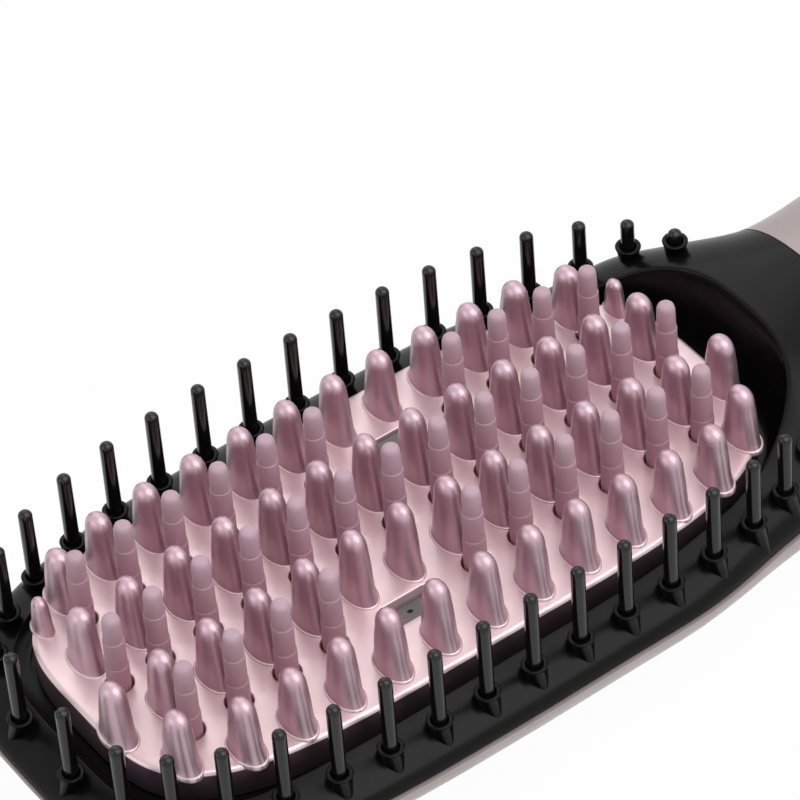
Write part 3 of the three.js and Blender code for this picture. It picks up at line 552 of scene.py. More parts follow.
    @staticmethod
    def dress(thing: bpy.types.Object, finish: "Finish", angle: float = 35.0) -> None:
        """Give a piece its finish and shade it smooth up to an angle."""
        thing.data.materials.append(finish.build())
        Shapes.soften(thing, angle)

    @staticmethod
    def merged(name: str, things: Sequence[bpy.types.Object]) -> bpy.types.Object:
        """Join objects into one that keeps their finishes and shading.

        Args:
            name: Name of the result.
            things: Objects to join; the others are removed.

        Returns:
            The joined object.
        """
        first = things[0]
        if len(things) > 1:
            with bpy.context.temp_override(
                active_object=first, object=first, selected_objects=list(things),
                selected_editable_objects=list(things),
            ):
                bpy.ops.object.join()
        first.name = name
        first.data.name = name
        return first


class Nodes:
    """Short calls for building a tree of nodes."""

    def __init__(self, tree: bpy.types.NodeTree) -> None:
        """Keep the tree and empty it."""
        self.tree = tree
        tree.nodes.clear()

    def add(
        self, kind: str, sockets: Mapping[str | int, object] | None = None, **settings: object
    ) -> bpy.types.Node:
        """Add a node.

        Args:
            kind: Blender's name of the node type.
            sockets: Values or outputs for its inputs, by name or number.
            **settings: Properties of the node.

        Returns:
            The node.
        """
        node = self.tree.nodes.new(kind)
        for key, value in settings.items():
            setattr(node, key, value)
        for key, value in (sockets or {}).items():
            if isinstance(value, bpy.types.NodeSocket):
                self.tree.links.new(value, node.inputs[key])
            else:
                node.inputs[key].default_value = value
        return node

    def math(self, operation: str, *values: object) -> bpy.types.NodeSocket:
        """Add a Math node and return its output."""
        sockets = dict(enumerate(values))
        return self.add("ShaderNodeMath", sockets, operation=operation).outputs[0]

    def ramp(
        self, value: bpy.types.NodeSocket, stops: Sequence[tuple[float, Sequence[float]]]
    ) -> bpy.types.NodeSocket:
        """Turn a value into colours.

        Args:
            value: The value to read.
            stops: Places and colours.

        Returns:
            The colour output.
        """
        node = self.add("ShaderNodeValToRGB", {"Fac": value})
        elements = node.color_ramp.elements
        while len(elements) < len(stops):
            elements.new(0.5)
        for element, (place, colour) in zip(elements, stops):
            element.position = place
            element.color = (*colour[:3], 1.0)
        return node.outputs["Color"]


# Finishes


class Slot(Enum):
    """Material slots of the record that the pieces here belong to."""

    ROSE_METAL = "rose_metal"
    MATTE_ROSE = "matte_rose"
    GLOSS_BLACK = "gloss_black"
    PEARL = "pearl"
    DARK_GREY = "dark_grey"
    BUTTON_BLACK = "button_black"
    GLAND_BLACK = "gland_black"
    STEEL = "steel"
    SMOKED = "smoked"


@dataclass(frozen=True)
class Finish:
    """A finish with faint mottling, a rough grain and a fine bump."""

    name: str
    colour: tuple[float, float, float]
    roughness: float
    metallic: float = 0.0
    coat: float = 0.0
    coat_roughness: float = 0.1
    specular: float = 0.5
    mottle: float = 0.06
    mottle_size: float = 9.0
    rough_spread: float = 0.05
    wear_size: float = 4.0
    grain_size: float = 0.35
    grain_depth: float = 0.004
    second: tuple[float, float, float] | None = None
    sheen: float = 0.0

    def build(self) -> bpy.types.Material:
        """Make the material, or find it if it was made before.

        Returns:
            The material.
        """
        known = bpy.data.materials.get(self.name)
        if known:
            return known
        material = bpy.data.materials.new(self.name)
        material.use_nodes = True
        nodes = Nodes(material.node_tree)
        place = nodes.add("ShaderNodeTexCoord").outputs["Object"]
        shader = nodes.add("ShaderNodeBsdfPrincipled", {
            "Base Color": self.base(nodes, place),
            "Roughness": self.rough(nodes, place),
            "Normal": self.bump(nodes, place),
            "Metallic": self.metallic,
            "Specular IOR Level": self.specular,
            "Coat Weight": self.coat,
            "Coat Roughness": self.coat_roughness,
            "Sheen Weight": self.sheen,
        })
        self.more(nodes, place, shader)
        nodes.add("ShaderNodeOutputMaterial", {"Surface": shader.outputs["BSDF"]})
        return material

    def base(self, nodes: Nodes, place: bpy.types.NodeSocket) -> bpy.types.NodeSocket:
        """Colour of the surface: two close shades in soft patches."""
        patches = nodes.add("ShaderNodeTexNoise", {
            "Vector": place, "Scale": 1 / (self.mottle_size * MM), "Detail": 3.0,
        })
        low = [c * (1 - self.mottle) for c in self.colour]
        high = self.second or [min(c * (1 + self.mottle), 1.0) for c in self.colour]
        return nodes.ramp(patches.outputs["Fac"], [(0.3, low), (0.7, high)])

    def rough(self, nodes: Nodes, place: bpy.types.NodeSocket) -> bpy.types.NodeSocket:
        """Roughness, a little uneven as handled and moulded surfaces are."""
        wear = nodes.add("ShaderNodeTexNoise", {
            "Vector": place, "Scale": 1 / (self.wear_size * MM), "Detail": 4.0, "Roughness": 0.6,
        })
        spread = nodes.add("ShaderNodeMapRange", {
            "Value": wear.outputs["Fac"],
            "From Min": 0.3, "From Max": 0.7,
            "To Min": max(self.roughness - self.rough_spread, 0.02),
            "To Max": self.roughness + self.rough_spread,
        })
        return spread.outputs["Result"]

    def bump(self, nodes: Nodes, place: bpy.types.NodeSocket) -> bpy.types.NodeSocket:
        """Fine grain of the surface."""
        grain = nodes.add("ShaderNodeTexNoise", {
            "Vector": place, "Scale": 1 / (self.grain_size * MM), "Detail": 2.0,
        })
        bump = nodes.add("ShaderNodeBump", {
            "Height": grain.outputs["Fac"],
            "Strength": 1.0,
            "Distance": self.grain_depth * MM,
        })
        return bump.outputs["Normal"]

    def more(
        self, nodes: Nodes, place: bpy.types.NodeSocket, shader: bpy.types.Node
    ) -> None:
        """Room for what a kind of finish adds to its shader."""


@dataclass(frozen=True)
class FrostedFinish(Finish):
    """Soft translucent plastic that pales towards the tips."""

    tip_colour: tuple[float, float, float] = (0.6, 0.45, 0.48)
    foot_height: float = 24.0
    tip_height: float = 38.0
    depth: float = 1.2
    scatter: float = 0.25
    cloud_size: float = 1.6
    cloud_height: float = 3.0

    def base(self, nodes: Nodes, place: bpy.types.NodeSocket) -> bpy.types.NodeSocket:
        """Colour by height over the plate, with faint clouds."""
        height = nodes.add("ShaderNodeSeparateXYZ", {"Vector": place}).outputs["Z"]
        cloud = nodes.add("ShaderNodeTexNoise", {
            "Vector": place, "Scale": 1 / (self.cloud_size * MM), "Detail": 3.0,
        })
        drift = nodes.math("MULTIPLY_ADD", cloud.outputs["Fac"], self.cloud_height * MM, height)
        share = nodes.add("ShaderNodeMapRange", {
            "Value": drift,
            "From Min": (self.foot_height + self.cloud_height / 2) * MM,
            "From Max": (self.tip_height + self.cloud_height / 2) * MM,
        })
        # Pinker towards the foot and paler towards the tip: partly the plastic's own tone, partly
        # painted light, the plate's pink picked up through the translucent plastic.
        middle = [(a + b) / 2 for a, b in zip(self.colour, self.tip_colour)]
        return nodes.ramp(share.outputs["Result"], [
            (0.0, self.colour), (0.62, middle), (0.95, self.tip_colour),
        ])

    def more(
        self, nodes: Nodes, place: bpy.types.NodeSocket, shader: bpy.types.Node
    ) -> None:
        """Let light travel a little way into the plastic."""
        shader.inputs["Subsurface Weight"].default_value = self.scatter
        shader.inputs["Subsurface Radius"].default_value = (1.0, 0.55, 0.5)
        shader.inputs["Subsurface Scale"].default_value = self.depth * MM


@dataclass(frozen=True)
class BrushedFinish(Finish):
    """Metal with fine lines from drawing or turning."""

    stretch: tuple[float, float, float] = (1.0, 14.0, 14.0)

    def bump(self, nodes: Nodes, place: bpy.types.NodeSocket) -> bpy.types.NodeSocket:
        """Grain stretched along one axis."""
        mapped = nodes.add("ShaderNodeMapping", {"Vector": place, "Scale": self.stretch})
        return super().bump(nodes, mapped.outputs["Vector"])


@dataclass(frozen=True)
class Palette:
    """Every finish of the brush."""

    # Painted light and shade: the plate and the teeth carry one rose coating. The plate's copy is
    # painted lighter and the teeth's copy darker, for how each mirrors the light.
    rose_plate_painted_light: Finish = Finish(
        "rose coated plate", (0.79, 0.61, 0.625), 0.34, metallic=0.55, mottle=0.03,
        rough_spread=0.03, grain_size=0.25, grain_depth=0.001,
    )
    rose_tooth_painted_shade: Finish = Finish(
        "rose coated tooth", (0.57, 0.39, 0.45), 0.42, metallic=0.85, mottle=0.03,
        rough_spread=0.02, grain_size=0.22, grain_depth=0.0008,
        coat=0.5, coat_roughness=0.3,
    )
    # Painted shade: a dark copy of the rose coating for the plate's side wall, standing for the
    # dark frame mirrored in it.
    plate_side_painted_shade: Finish = Finish(
        "shaded side of the plate", (0.10, 0.065, 0.08), 0.36, metallic=0.6, mottle=0.05,
        grain_size=0.25, grain_depth=0.001,
    )
    frosted_rose: FrostedFinish = FrostedFinish(
        "frosted rose bristle", (0.48, 0.25, 0.295), 0.5, grain_size=0.2, grain_depth=0.004,
        tip_colour=(0.66, 0.47, 0.54), specular=0.35,
    )
    satin_black: Finish = Finish(
        "satin black frame", (0.004, 0.0036, 0.004), 0.25, mottle=0.2, mottle_size=14,
        grain_size=0.3, grain_depth=0.0015, specular=0.14,
    )
    pin_black: Finish = Finish(
        "semi-gloss black pin", (0.006, 0.005, 0.006), 0.14, mottle=0.15, grain_size=0.4,
        grain_depth=0.0006, rough_spread=0.02, specular=0.4,
    )
    pearl: Finish = Finish(
        "pearl lacquer", (0.42, 0.345, 0.335), 0.38, metallic=0.15, coat=0.2,
        coat_roughness=0.12, mottle=0.03, grain_size=0.12, grain_depth=0.001,
        second=(0.46, 0.38, 0.37),
    )
    dark_grey: Finish = Finish(
        "dark grey insert", (0.2, 0.2, 0.19), 0.4, mottle=0.1, grain_depth=0.003,
    )
    button: Finish = Finish(
        "fine satin button", (0.022, 0.021, 0.022), 0.45, mottle=0.1, grain_size=0.2,
        grain_depth=0.008,
    )
    symbol: Finish = Finish("pale print", (0.62, 0.6, 0.6), 0.5, mottle=0.04)
    gland: Finish = Finish(
        "soft black gland", (0.02, 0.02, 0.02), 0.62, mottle=0.2, grain_depth=0.01, sheen=0.1,
    )
    steel: BrushedFinish = BrushedFinish(
        "plated steel", (0.55, 0.56, 0.57), 0.3, metallic=1.0, grain_depth=0.004,
    )
    aluminium: BrushedFinish = BrushedFinish(
        "drawn aluminium", (0.7, 0.71, 0.72), 0.38, metallic=1.0, grain_depth=0.005,
    )
    mica: Finish = Finish(
        "pressed mica", (0.6, 0.52, 0.36), 0.6, mottle=0.25, mottle_size=1.5, grain_depth=0.02,
    )
    board: Finish = Finish(
        "green board", (0.03, 0.22, 0.11), 0.4, mottle=0.15, mottle_size=3, coat=0.3,
    )
    smoked: Finish = Finish(
        "smoked window", (0.008, 0.008, 0.01), 0.08, mottle=0.1, grain_depth=0.0005,
        rough_spread=0.02, coat=0.5, coat_roughness=0.03,
    )
    lead: Finish = Finish(
        "red lead sleeve", (0.35, 0.04, 0.03), 0.5, mottle=0.1, grain_depth=0.006,
    )


PALETTE = Palette()


# Repeated pieces


class CopyTree:
    """Geometry nodes that set copies of a shape on points."""

    PLACES = "Places"
    FINISH = "Finish"
    STRETCH = "stretch"

    def __init__(self, name: str, inputs: Mapping[str, str]) -> None:
        """Start the tree.

        Args:
            name: Name of the tree.
            inputs: Its own named inputs, with the kind of each.
        """
        self.tree = bpy.data.node_groups.new(name, "GeometryNodeTree")
        face = self.tree.interface
        for label, kind in {self.PLACES: "Geometry", **inputs, self.FINISH: "Material"}.items():
            face.new_socket(label, in_out="INPUT", socket_type=f"NodeSocket{kind}")
        face.new_socket("Copies", in_out="OUTPUT", socket_type="NodeSocketGeometry")
        self.nodes = Nodes(self.tree)
        self.given = self.nodes.add("NodeGroupInput").outputs

    def attribute(self, name: str, kind: str) -> bpy.types.NodeSocket:
        """Output that reads an attribute of the points."""
        node = self.nodes.add("GeometryNodeInputNamedAttribute", {"Name": name}, data_type=kind)
        return node.outputs["Attribute"]

    def close(self, sockets: Mapping[str, bpy.types.NodeSocket]) -> None:
        """Set the copies, make them real and give them their finish.

        Args:
            sockets: The shape, its scale and its turn, as Instance on Points names them.
        """
        copies = self.nodes.add("GeometryNodeInstanceOnPoints", {
            "Points": self.given[self.PLACES], **sockets,
        })
        real = self.nodes.add("GeometryNodeRealizeInstances", {
            "Geometry": copies.outputs["Instances"],
        })
        dressed = self.nodes.add("GeometryNodeSetMaterial", {
            "Geometry": real.outputs["Geometry"], "Material": self.given[self.FINISH],
        })
        self.nodes.add("NodeGroupOutput", {"Copies": dressed.outputs["Geometry"]})

    def grow(
        self,
        name: str,
        places: Points,
        attributes: Mapping[str, Points],
        inputs: Mapping[str, object],
    ) -> bpy.types.Object:
        """Run the tree on places and turn the copies into plain mesh.

        Args:
            name: Name of the result.
            places: One point in millimetres for each copy.
            attributes: A vector or a number for each copy, by name.
            inputs: Values of the tree's inputs, by name.

        Returns:
            One object with all copies.
        """
        mesh = bpy.data.meshes.new(name)
        mesh.from_pydata((np.asarray(places, float) * MM).tolist(), [], [])
        for label, values in attributes.items():
            values = np.asarray(values, np.float32)
            kind, part = ("FLOAT_VECTOR", "vector") if values.ndim == 2 else ("FLOAT", "value")
            layer = mesh.attributes.new(label, kind, "POINT")
            layer.data.foreach_set(part, values.ravel())
        result = bpy.data.objects.new(name, mesh)
        bpy.context.scene.collection.objects.link(result)
        step = result.modifiers.new("copies", "NODES")
        step.node_group = self.tree
        for item in self.tree.interface.items_tree:
            if item.in_out == "INPUT" and item.name in inputs:
                step[item.identifier] = inputs[item.name]
        Shapes.evaluated(result)
        return result


class Scatter(CopyTree):
    """Geometry nodes that set copies of an object on points."""

    SHAPE = "Shape"
    SIZE = "Size"
    TURN = "turn"

    def __init__(self) -> None:
        """Build the tree once."""
        super().__init__("copies on places", {self.SHAPE: "Object", self.SIZE: "Float"})
        shape = self.nodes.add("GeometryNodeObjectInfo", {"Object": self.given[self.SHAPE]})
        scale = self.nodes.add("ShaderNodeVectorMath", {
            0: self.attribute(self.STRETCH, "FLOAT_VECTOR"), "Scale": self.given[self.SIZE],
        }, operation="SCALE")
        euler = self.nodes.add("ShaderNodeCombineXYZ", {"Z": self.attribute(self.TURN, "FLOAT")})
        turn = self.nodes.add("FunctionNodeEulerToRotation", {"Euler": euler.outputs["Vector"]})
        self.close({
            "Instance": shape.outputs["Geometry"],
            "Rotation": turn.outputs["Rotation"],
            "Scale": scale.outputs["Vector"],
        })

    def run(
        self,
        name: str,
        shape: bpy.types.Object,
        places: Points,
        finish: Finish,
        stretch: Points | None = None,
        size: float = 1.0,
        turns: Points | None = None,
    ) -> bpy.types.Object:
        """Set copies of a shape on places.

        Args:
            name: Name of the result.
            shape: The shape, made round its own foot; it is removed.
            places: One point in millimetres for each copy.
            finish: Finish of the copies.
            stretch: Scale along X, Y and Z for each copy.
            size: Scale of all copies.
            turns: Turn about Z for each copy.

        Returns:
            One object with all copies.
        """
        count = len(places)
        result = self.grow(name, places, {
            self.STRETCH: np.ones((count, 3)) if stretch is None else stretch,
            self.TURN: np.zeros(count) if turns is None else turns,
        }, {self.SHAPE: shape, self.SIZE: size, self.FINISH: finish.build()})
        bpy.data.objects.remove(shape)
        return result


class RodRow(CopyTree):
    """Geometry nodes that grow tapered rods with rounded tips on points."""

    ROOT = "Root radius"
    TIP = "Tip radius"
    ROUNDING = "Rounding"
    SIDES = "Sides"
    RINGS = "Rings"
    CROWDING = 4.0
    ROUND_POWER = 2.6
    ROUND_SHARE = 0.62

    def __init__(self) -> None:
        """Build the tree once."""
        super().__init__("tapered rods", {
            self.ROOT: "Float", self.TIP: "Float", self.ROUNDING: "Float",
            self.SIDES: "Int", self.RINGS: "Int",
        })
        nodes = self.nodes
        line = nodes.add("GeometryNodeCurvePrimitiveLine", {"End": (0.0, 0.0, 1.0)})
        rings = nodes.add("GeometryNodeResampleCurve", {
            "Curve": line.outputs["Curve"], "Count": self.given[self.RINGS],
        })
        along = nodes.add("GeometryNodeSplineParameter").outputs["Factor"]
        rest = nodes.math("POWER", nodes.math("SUBTRACT", 1.0, along), self.CROWDING)
        lifted = nodes.add("ShaderNodeCombineXYZ", {"Z": nodes.math("SUBTRACT", 1.0, rest)})
        moved = nodes.add("GeometryNodeSetPosition", {
            "Geometry": rings.outputs["Curve"], "Position": lifted.outputs["Vector"],
        })
        thick = nodes.add("GeometryNodeSetCurveRadius", {
            "Curve": moved.outputs["Geometry"], "Radius": self.radius(along),
        })
        profile = nodes.add("GeometryNodeCurvePrimitiveCircle", {
            "Resolution": self.given[self.SIDES], "Radius": 1.0,
        })
        rod = nodes.add("GeometryNodeCurveToMesh", {
            "Curve": thick.outputs["Curve"],
            "Profile Curve": profile.outputs["Curve"],
            "Fill Caps": True,
        })
        if "Scale" in rod.inputs:
            read = nodes.add("GeometryNodeInputRadius")
            nodes.tree.links.new(read.outputs["Radius"], rod.inputs["Scale"])
        self.close({
            "Instance": rod.outputs["Mesh"],
            "Scale": self.attribute(self.STRETCH, "FLOAT_VECTOR"),
        })

    def radius(self, along: bpy.types.NodeSocket) -> bpy.types.NodeSocket:
        """Taper from root to tip, then a rounded end.

        Args:
            along: Share of the height.

        Returns:
            The radius at that share.
        """
        nodes, given = self.nodes, self.given
        taper = nodes.add("ShaderNodeMapRange", {
            "Value": along, "To Min": given[self.ROOT], "To Max": given[self.TIP],
        })
        start = nodes.math("SUBTRACT", 1.0, given[self.ROUNDING])
        into = nodes.add("ShaderNodeMapRange", {
            "Value": along, "From Min": start, "From Max": 1.0,
        })
        power = nodes.math("POWER", into.outputs[0], self.ROUND_POWER)
        drop = nodes.math("MULTIPLY_ADD", power, -self.ROUND_SHARE, 1.0)
        return nodes.math("MULTIPLY", taper.outputs[0], drop)

    def run(
        self,
        name: str,
        places: Points,
        heights: Points,
        radii: tuple[float, float],
        rounding: float,
        finish: Finish,
        sides: int,
        rings: int,
    ) -> bpy.types.Object:
        """Grow rods on places.

        Args:
            name: Name of the result.
            places: Feet of the rods in millimetres.
            heights: Height of each rod in millimetres.
            radii: Radius at the root and near the tip.
            rounding: Share of the height that rounds off.
            finish: Finish of the rods.
            sides: Faces round a rod.
            rings: Rings along a rod.

        Returns:
            One object with all rods.
        """
        plain = np.ones_like(heights)
        return self.grow(name, places, {
            self.STRETCH: np.column_stack([plain, plain, heights * MM]),
        }, {
            self.ROOT: radii[0] * MM, self.TIP: radii[1] * MM, self.ROUNDING: rounding,
            self.SIDES: sides, self.RINGS: rings, self.FINISH: finish.build(),
        })


# Sub-assemblies


@dataclass
class Assembly:
    """Something that builds pieces and hands them to the frame."""

    body: str = "brush"

    def hand_over(
        self,
        piece: bpy.types.Object,
        nodes: Sequence[str],
        slot: Slot | None,
        finish: Finish | None = None,
        body: str | None = None,
    ) -> None:
        """Dress a piece, let it ride on its body and stand for its nodes.

        Args:
            piece: The finished piece.
            nodes: Nodes of the model that it replaces.
            slot: The record's slot that its finish belongs to; not used.
            finish: Finish to give it, unless it has one.
            body: Body that it rides on, if not the assembly's own.
        """
        if finish is not None:
            piece.data.materials.clear()
            piece.data.materials.append(finish.build())
        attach(piece, body or self.body)
        if nodes:
            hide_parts(*nodes)
        log.info("%s: %d faces", piece.name, len(piece.data.polygons))


@dataclass
class ToothPlate(Assembly):
    """The cast plate: crowned top, teeth, bristle holes and ion slots."""

    edge_radius: float = 0.7
    hole_radius: float = 2.0
    hole_edge: float = 0.22
    hole_sides: int = 28
    slot_length: float = 9.6
    slot_width: float = 4.2
    slot_corner: float = 1.4
    slot_place: tuple[float, float] = (8.0, 13.4)
    tooth_height: float = 12.0
    small_scale: float = 0.62
    skirt_keep: float = 3.0
    mesh_step: float = 1.5
    tooth_levels: tuple[tuple[float, float, float], ...] = (
        (-0.9, 2.3, 3.88), (0.0, 2.28, 3.84), (0.18, 2.2, 3.72), (0.45, 2.13, 3.6),
        (1.2, 2.07, 3.38), (2.4, 2.03, 3.16), (3.8, 2.0, 2.98), (5.4, 1.97, 2.8),
        (7.2, 1.9, 2.56), (8.8, 1.8, 2.28),
    )
    fillet_levels: tuple[tuple[float, float, float], ...] = (
        (-0.6, 2.46, 4.0), (0.0, 2.46, 4.0), (0.09, 2.4, 3.94), (0.15, 2.25, 3.8),
    )
    # Painted shade: rim faces past this share of the outline, with upright normals under this, take
    # the dark copy of the coating.
    painted_shade_from: float = 0.93
    painted_shade_steep: float = 0.4
    tip_from: float = 8.8
    dome_steps: int = 9
    dome_power: float = 0.86
    tooth_sides: int = 28
    rim_points: int = 260
    rim_steps: int = 6
    edge_steps: int = 4
    mesh_row: float = 0.866
    mesh_clear: float = 0.55
    opening_reach: float = 7.0
    post_x: float = 47.5
    post_ys: tuple[float, float] = (7.072, -5.984)
    post_levels: tuple[tuple[float, float], ...] = ((14.7, 2.3), (18.4, 2.3))

    def teeth_places(self) -> list[tuple[float, float, float]]:
        """Place and scale of each tooth.

        Returns:
            Triples of x, y and scale.
        """
        full = [(c, 1.5) for c in range(1, 13)]
        full += [(c - 0.5, 0.5) for c in range(1, 14)]
        full += [(c, -0.5) for c in range(0, 14)]
        full += [(c - 0.5, -1.5) for c in range(2, 13)]
        full += [(0.5, -1.2), (12.5, -1.2)]
        small = [(0.35, 1.17), (12.75, 1.13)]
        found = []
        for group, scale in ((full, 1.0), (small, self.small_scale)):
            for column, row in group:
                x = FORM.column(column)
                limit = float(FORM.plate.half_at(x)) - self.skirt_keep * scale
                y = math.copysign(min(abs(row) * FORM.row_pitch, limit), row)
                found.append((x, y, scale))
        return found

    def openings(self) -> list[Callable[[float], Points]]:
        """Outlines of all holes and slots, each as a function of how far it is grown."""
        ring = circle(self.hole_sides)

        def hole(*middle: float) -> Callable[[float], Points]:
            """Outline of the hole for a bristle."""
            return lambda grow: (self.hole_radius + grow) * ring + middle

        def slot(*middle: float) -> Callable[[float], Points]:
            """Outline of the slot for an ion outlet."""
            return lambda grow: rounded_box(
                self.slot_length / 2 + grow, self.slot_width / 2 + grow, self.slot_corner + grow
            ) + middle

        x, y = self.slot_place
        holes = [
            hole(FORM.column(c), strip.row_y) for strip in BRISTLE_STRIPS for c in strip.columns
        ]
        return [*holes, slot(x, y), slot(-x, -y)]

    def filled(
        self, border: Points, holes: Sequence[Points], inside: Points
    ) -> tuple[Points, list[Face]]:
        """Fill an outline with triangles, leaving holes open.

        Args:
            border: Outer outline.
            holes: Outlines that stay open.
            inside: More points to use.

        Returns:
            Points in plan and triangles.
        """
        loops = [border, *holes]
        points = np.concatenate([*loops, inside])
        edges = []
        start = 0
        for loop in loops:
            size = len(loop)
            edges += [(start + i, start + (i + 1) % size) for i in range(size)]
            start += size
        made, _, triangles, *_ = delaunay_2d_cdt(
            [Vector(p) for p in points], edges, [], 0, 1e-5
        )
        flat = np.array([tuple(p) for p in made])
        faces = []
        for triangle in triangles:
            middle = flat[list(triangle)].mean(axis=0)
            near = [
                hole for hole in holes
                if np.linalg.norm(middle - hole.mean(axis=0)) < self.opening_reach
            ]
            if self.within(middle, border) and not any(self.within(middle, h) for h in near):
                faces.append(tuple(triangle))
        return flat, faces

    @staticmethod
    def within(point: Points, loop: Points) -> bool:
        """Whether a point lies inside a closed outline."""
        x, y = point
        ahead = np.roll(loop, -1, axis=0)
        over = (loop[:, 1] > y) != (ahead[:, 1] > y)
        rise = np.where(over, ahead[:, 1] - loop[:, 1], 1.0)
        cross = loop[:, 0] + (y - loop[:, 1]) / rise * (ahead[:, 0] - loop[:, 0])
        return bool(np.count_nonzero(over & (x < cross)) % 2)

    def slab(self) -> bpy.types.Object:
        """The plate without teeth.

        Returns:
            A closed body with rounded edges round its rim, holes and slots.
        """
        angles = FORM.plate.even_angles(self.rim_points)
        openings = self.openings()
        border = FORM.plate.points(angles, -self.edge_radius)
        holes = [hole(self.hole_edge) for hole in openings]
        flat, faces = self.filled(border, holes, self.spread(border, holes))
        points, found = [raised(flat, FORM.plate_top(*flat.T))], list(faces)
        count = len(flat)
        under = FORM.plate_under

        def band(outline: Callable[[float], Points], edge: float, steps: int) -> None:
            """Round an outline's edge over and take its wall down to the underside."""
            nonlocal count
            for number, a in enumerate(np.linspace(0, math.pi / 2, steps)):
                ring = outline(edge * (1 - math.sin(a)))
                points.append(raised(ring, FORM.plate_top(*ring.T) - edge * (1 - math.cos(a))))
                size = len(ring)
                start = count + number * size
                for c in range(size):
                    d = (c + 1) % size
                    found.append((start + c, start + size + c, start + size + d, start + d))
            points.append(raised(outline(0.0), under))
            count += size * (steps + 1)

        band(lambda grow: FORM.plate.points(angles, -grow), self.edge_radius, self.rim_steps)
        for hole in openings:
            band(hole, self.hole_edge, self.edge_steps)
        outer = FORM.plate.points(angles)
        low, low_faces = self.filled(outer, [hole(0.0) for hole in openings], np.zeros((0, 2)))
        points.append(raised(low, under))
        found += [tuple(i + count for i in face) for face in low_faces]
        return Shapes.piece("tooth_plate_slab", np.concatenate(points), found)

    def spread(self, border: Points, holes: Sequence[Points]) -> Points:
        """Points inside the plate for an even mesh, clear of every edge.

        Args:
            border: Outline of the flat part.
            holes: Outlines of the holes.

        Returns:
            Points in plan.
        """
        step = self.mesh_step
        rows = np.arange(-FORM.plate.half, FORM.plate.half, step * self.mesh_row)
        grid = np.array([
            (x, y) for number, y in enumerate(rows)
            for x in np.arange(-FORM.plate.tip + number % 2 * step / 2, FORM.plate.neck, step)
        ])
        edges = np.concatenate([border, *holes])
        clear = (self.mesh_clear * step) ** 2
        return np.array([
            point for point in grid
            if np.min(np.sum((edges - point) ** 2, axis=1)) > clear
            and self.within(point, border)
        ])

    def tooth(self) -> bpy.types.Object:
        """One tooth round its own foot: a skirt, a nearly upright body and a round tip."""
        levels = list(self.tooth_levels)
        _, along, across = levels[-1]
        rise = self.tooth_height - self.tip_from
        for angle in np.linspace(0, math.pi / 2, self.dome_steps)[1:]:
            share = max(math.cos(angle), 0.012) ** self.dome_power
            levels.append((self.tip_from + rise * math.sin(angle), along * share, across * share))
        return Shapes.turned("tooth", levels, self.tooth_sides)

    def build(self, scatter: Scatter) -> None:
        """Make the plate with its teeth and posts.

        Args:
            scatter: The tree that sets the teeth.
        """
        slab = self.slab()
        slab.data.materials.append(PALETTE.rose_plate_painted_light.build())
        slab.data.materials.append(PALETTE.plate_side_painted_shade.build())
        # Painted shade: the plate's steep side wall gets the dark copy of the coating in the second
        # slot.
        plate = FORM.plate
        for face in slab.data.polygons:
            x, y = abs(face.center.x) / MM, abs(face.center.y) / MM
            out = (x / plate.neck) ** plate.neck_power + (y / plate.half) ** plate.neck_power
            face.material_index = int(out > self.painted_shade_from and abs(face.normal.z) < self.painted_shade_steep)
        Shapes.soften(slab, 40)
        x, y, sizes = np.array(self.teeth_places()).T
        feet = np.column_stack([x, y, FORM.plate_top(x, y)])
        rise = FORM.tip_at(self.tooth_height, x, y) - feet[:, 2]
        tooth = self.tooth()
        fillet = Shapes.turned("fillet", self.fillet_levels, self.tooth_sides)
        for shape in (tooth, fillet):
            Shapes.soften(shape, 50)
        stretch = np.column_stack([sizes, sizes, sizes * rise / self.tooth_height])
        teeth = scatter.run("teeth", tooth, feet, PALETTE.rose_tooth_painted_shade, stretch)
        plain = np.column_stack([sizes] * 3)
        # The fillet rings take the plate's lighter copy, so the bright ring at each tooth's foot is
        # partly painted light.
        fillets = scatter.run("fillets", fillet, feet, PALETTE.rose_plate_painted_light, plain)
        posts = [
            Shapes.turned("post", self.post_levels, 24, middle=(x, y))
            for x in (-self.post_x, self.post_x) for y in self.post_ys
        ]
        for post in posts:
            Shapes.dress(post, PALETTE.rose_plate_painted_light)
        piece = Shapes.merged("tooth_plate", [slab, teeth, fillets, *posts])
        self.hand_over(piece, ["heating_plate"], Slot.ROSE_METAL)


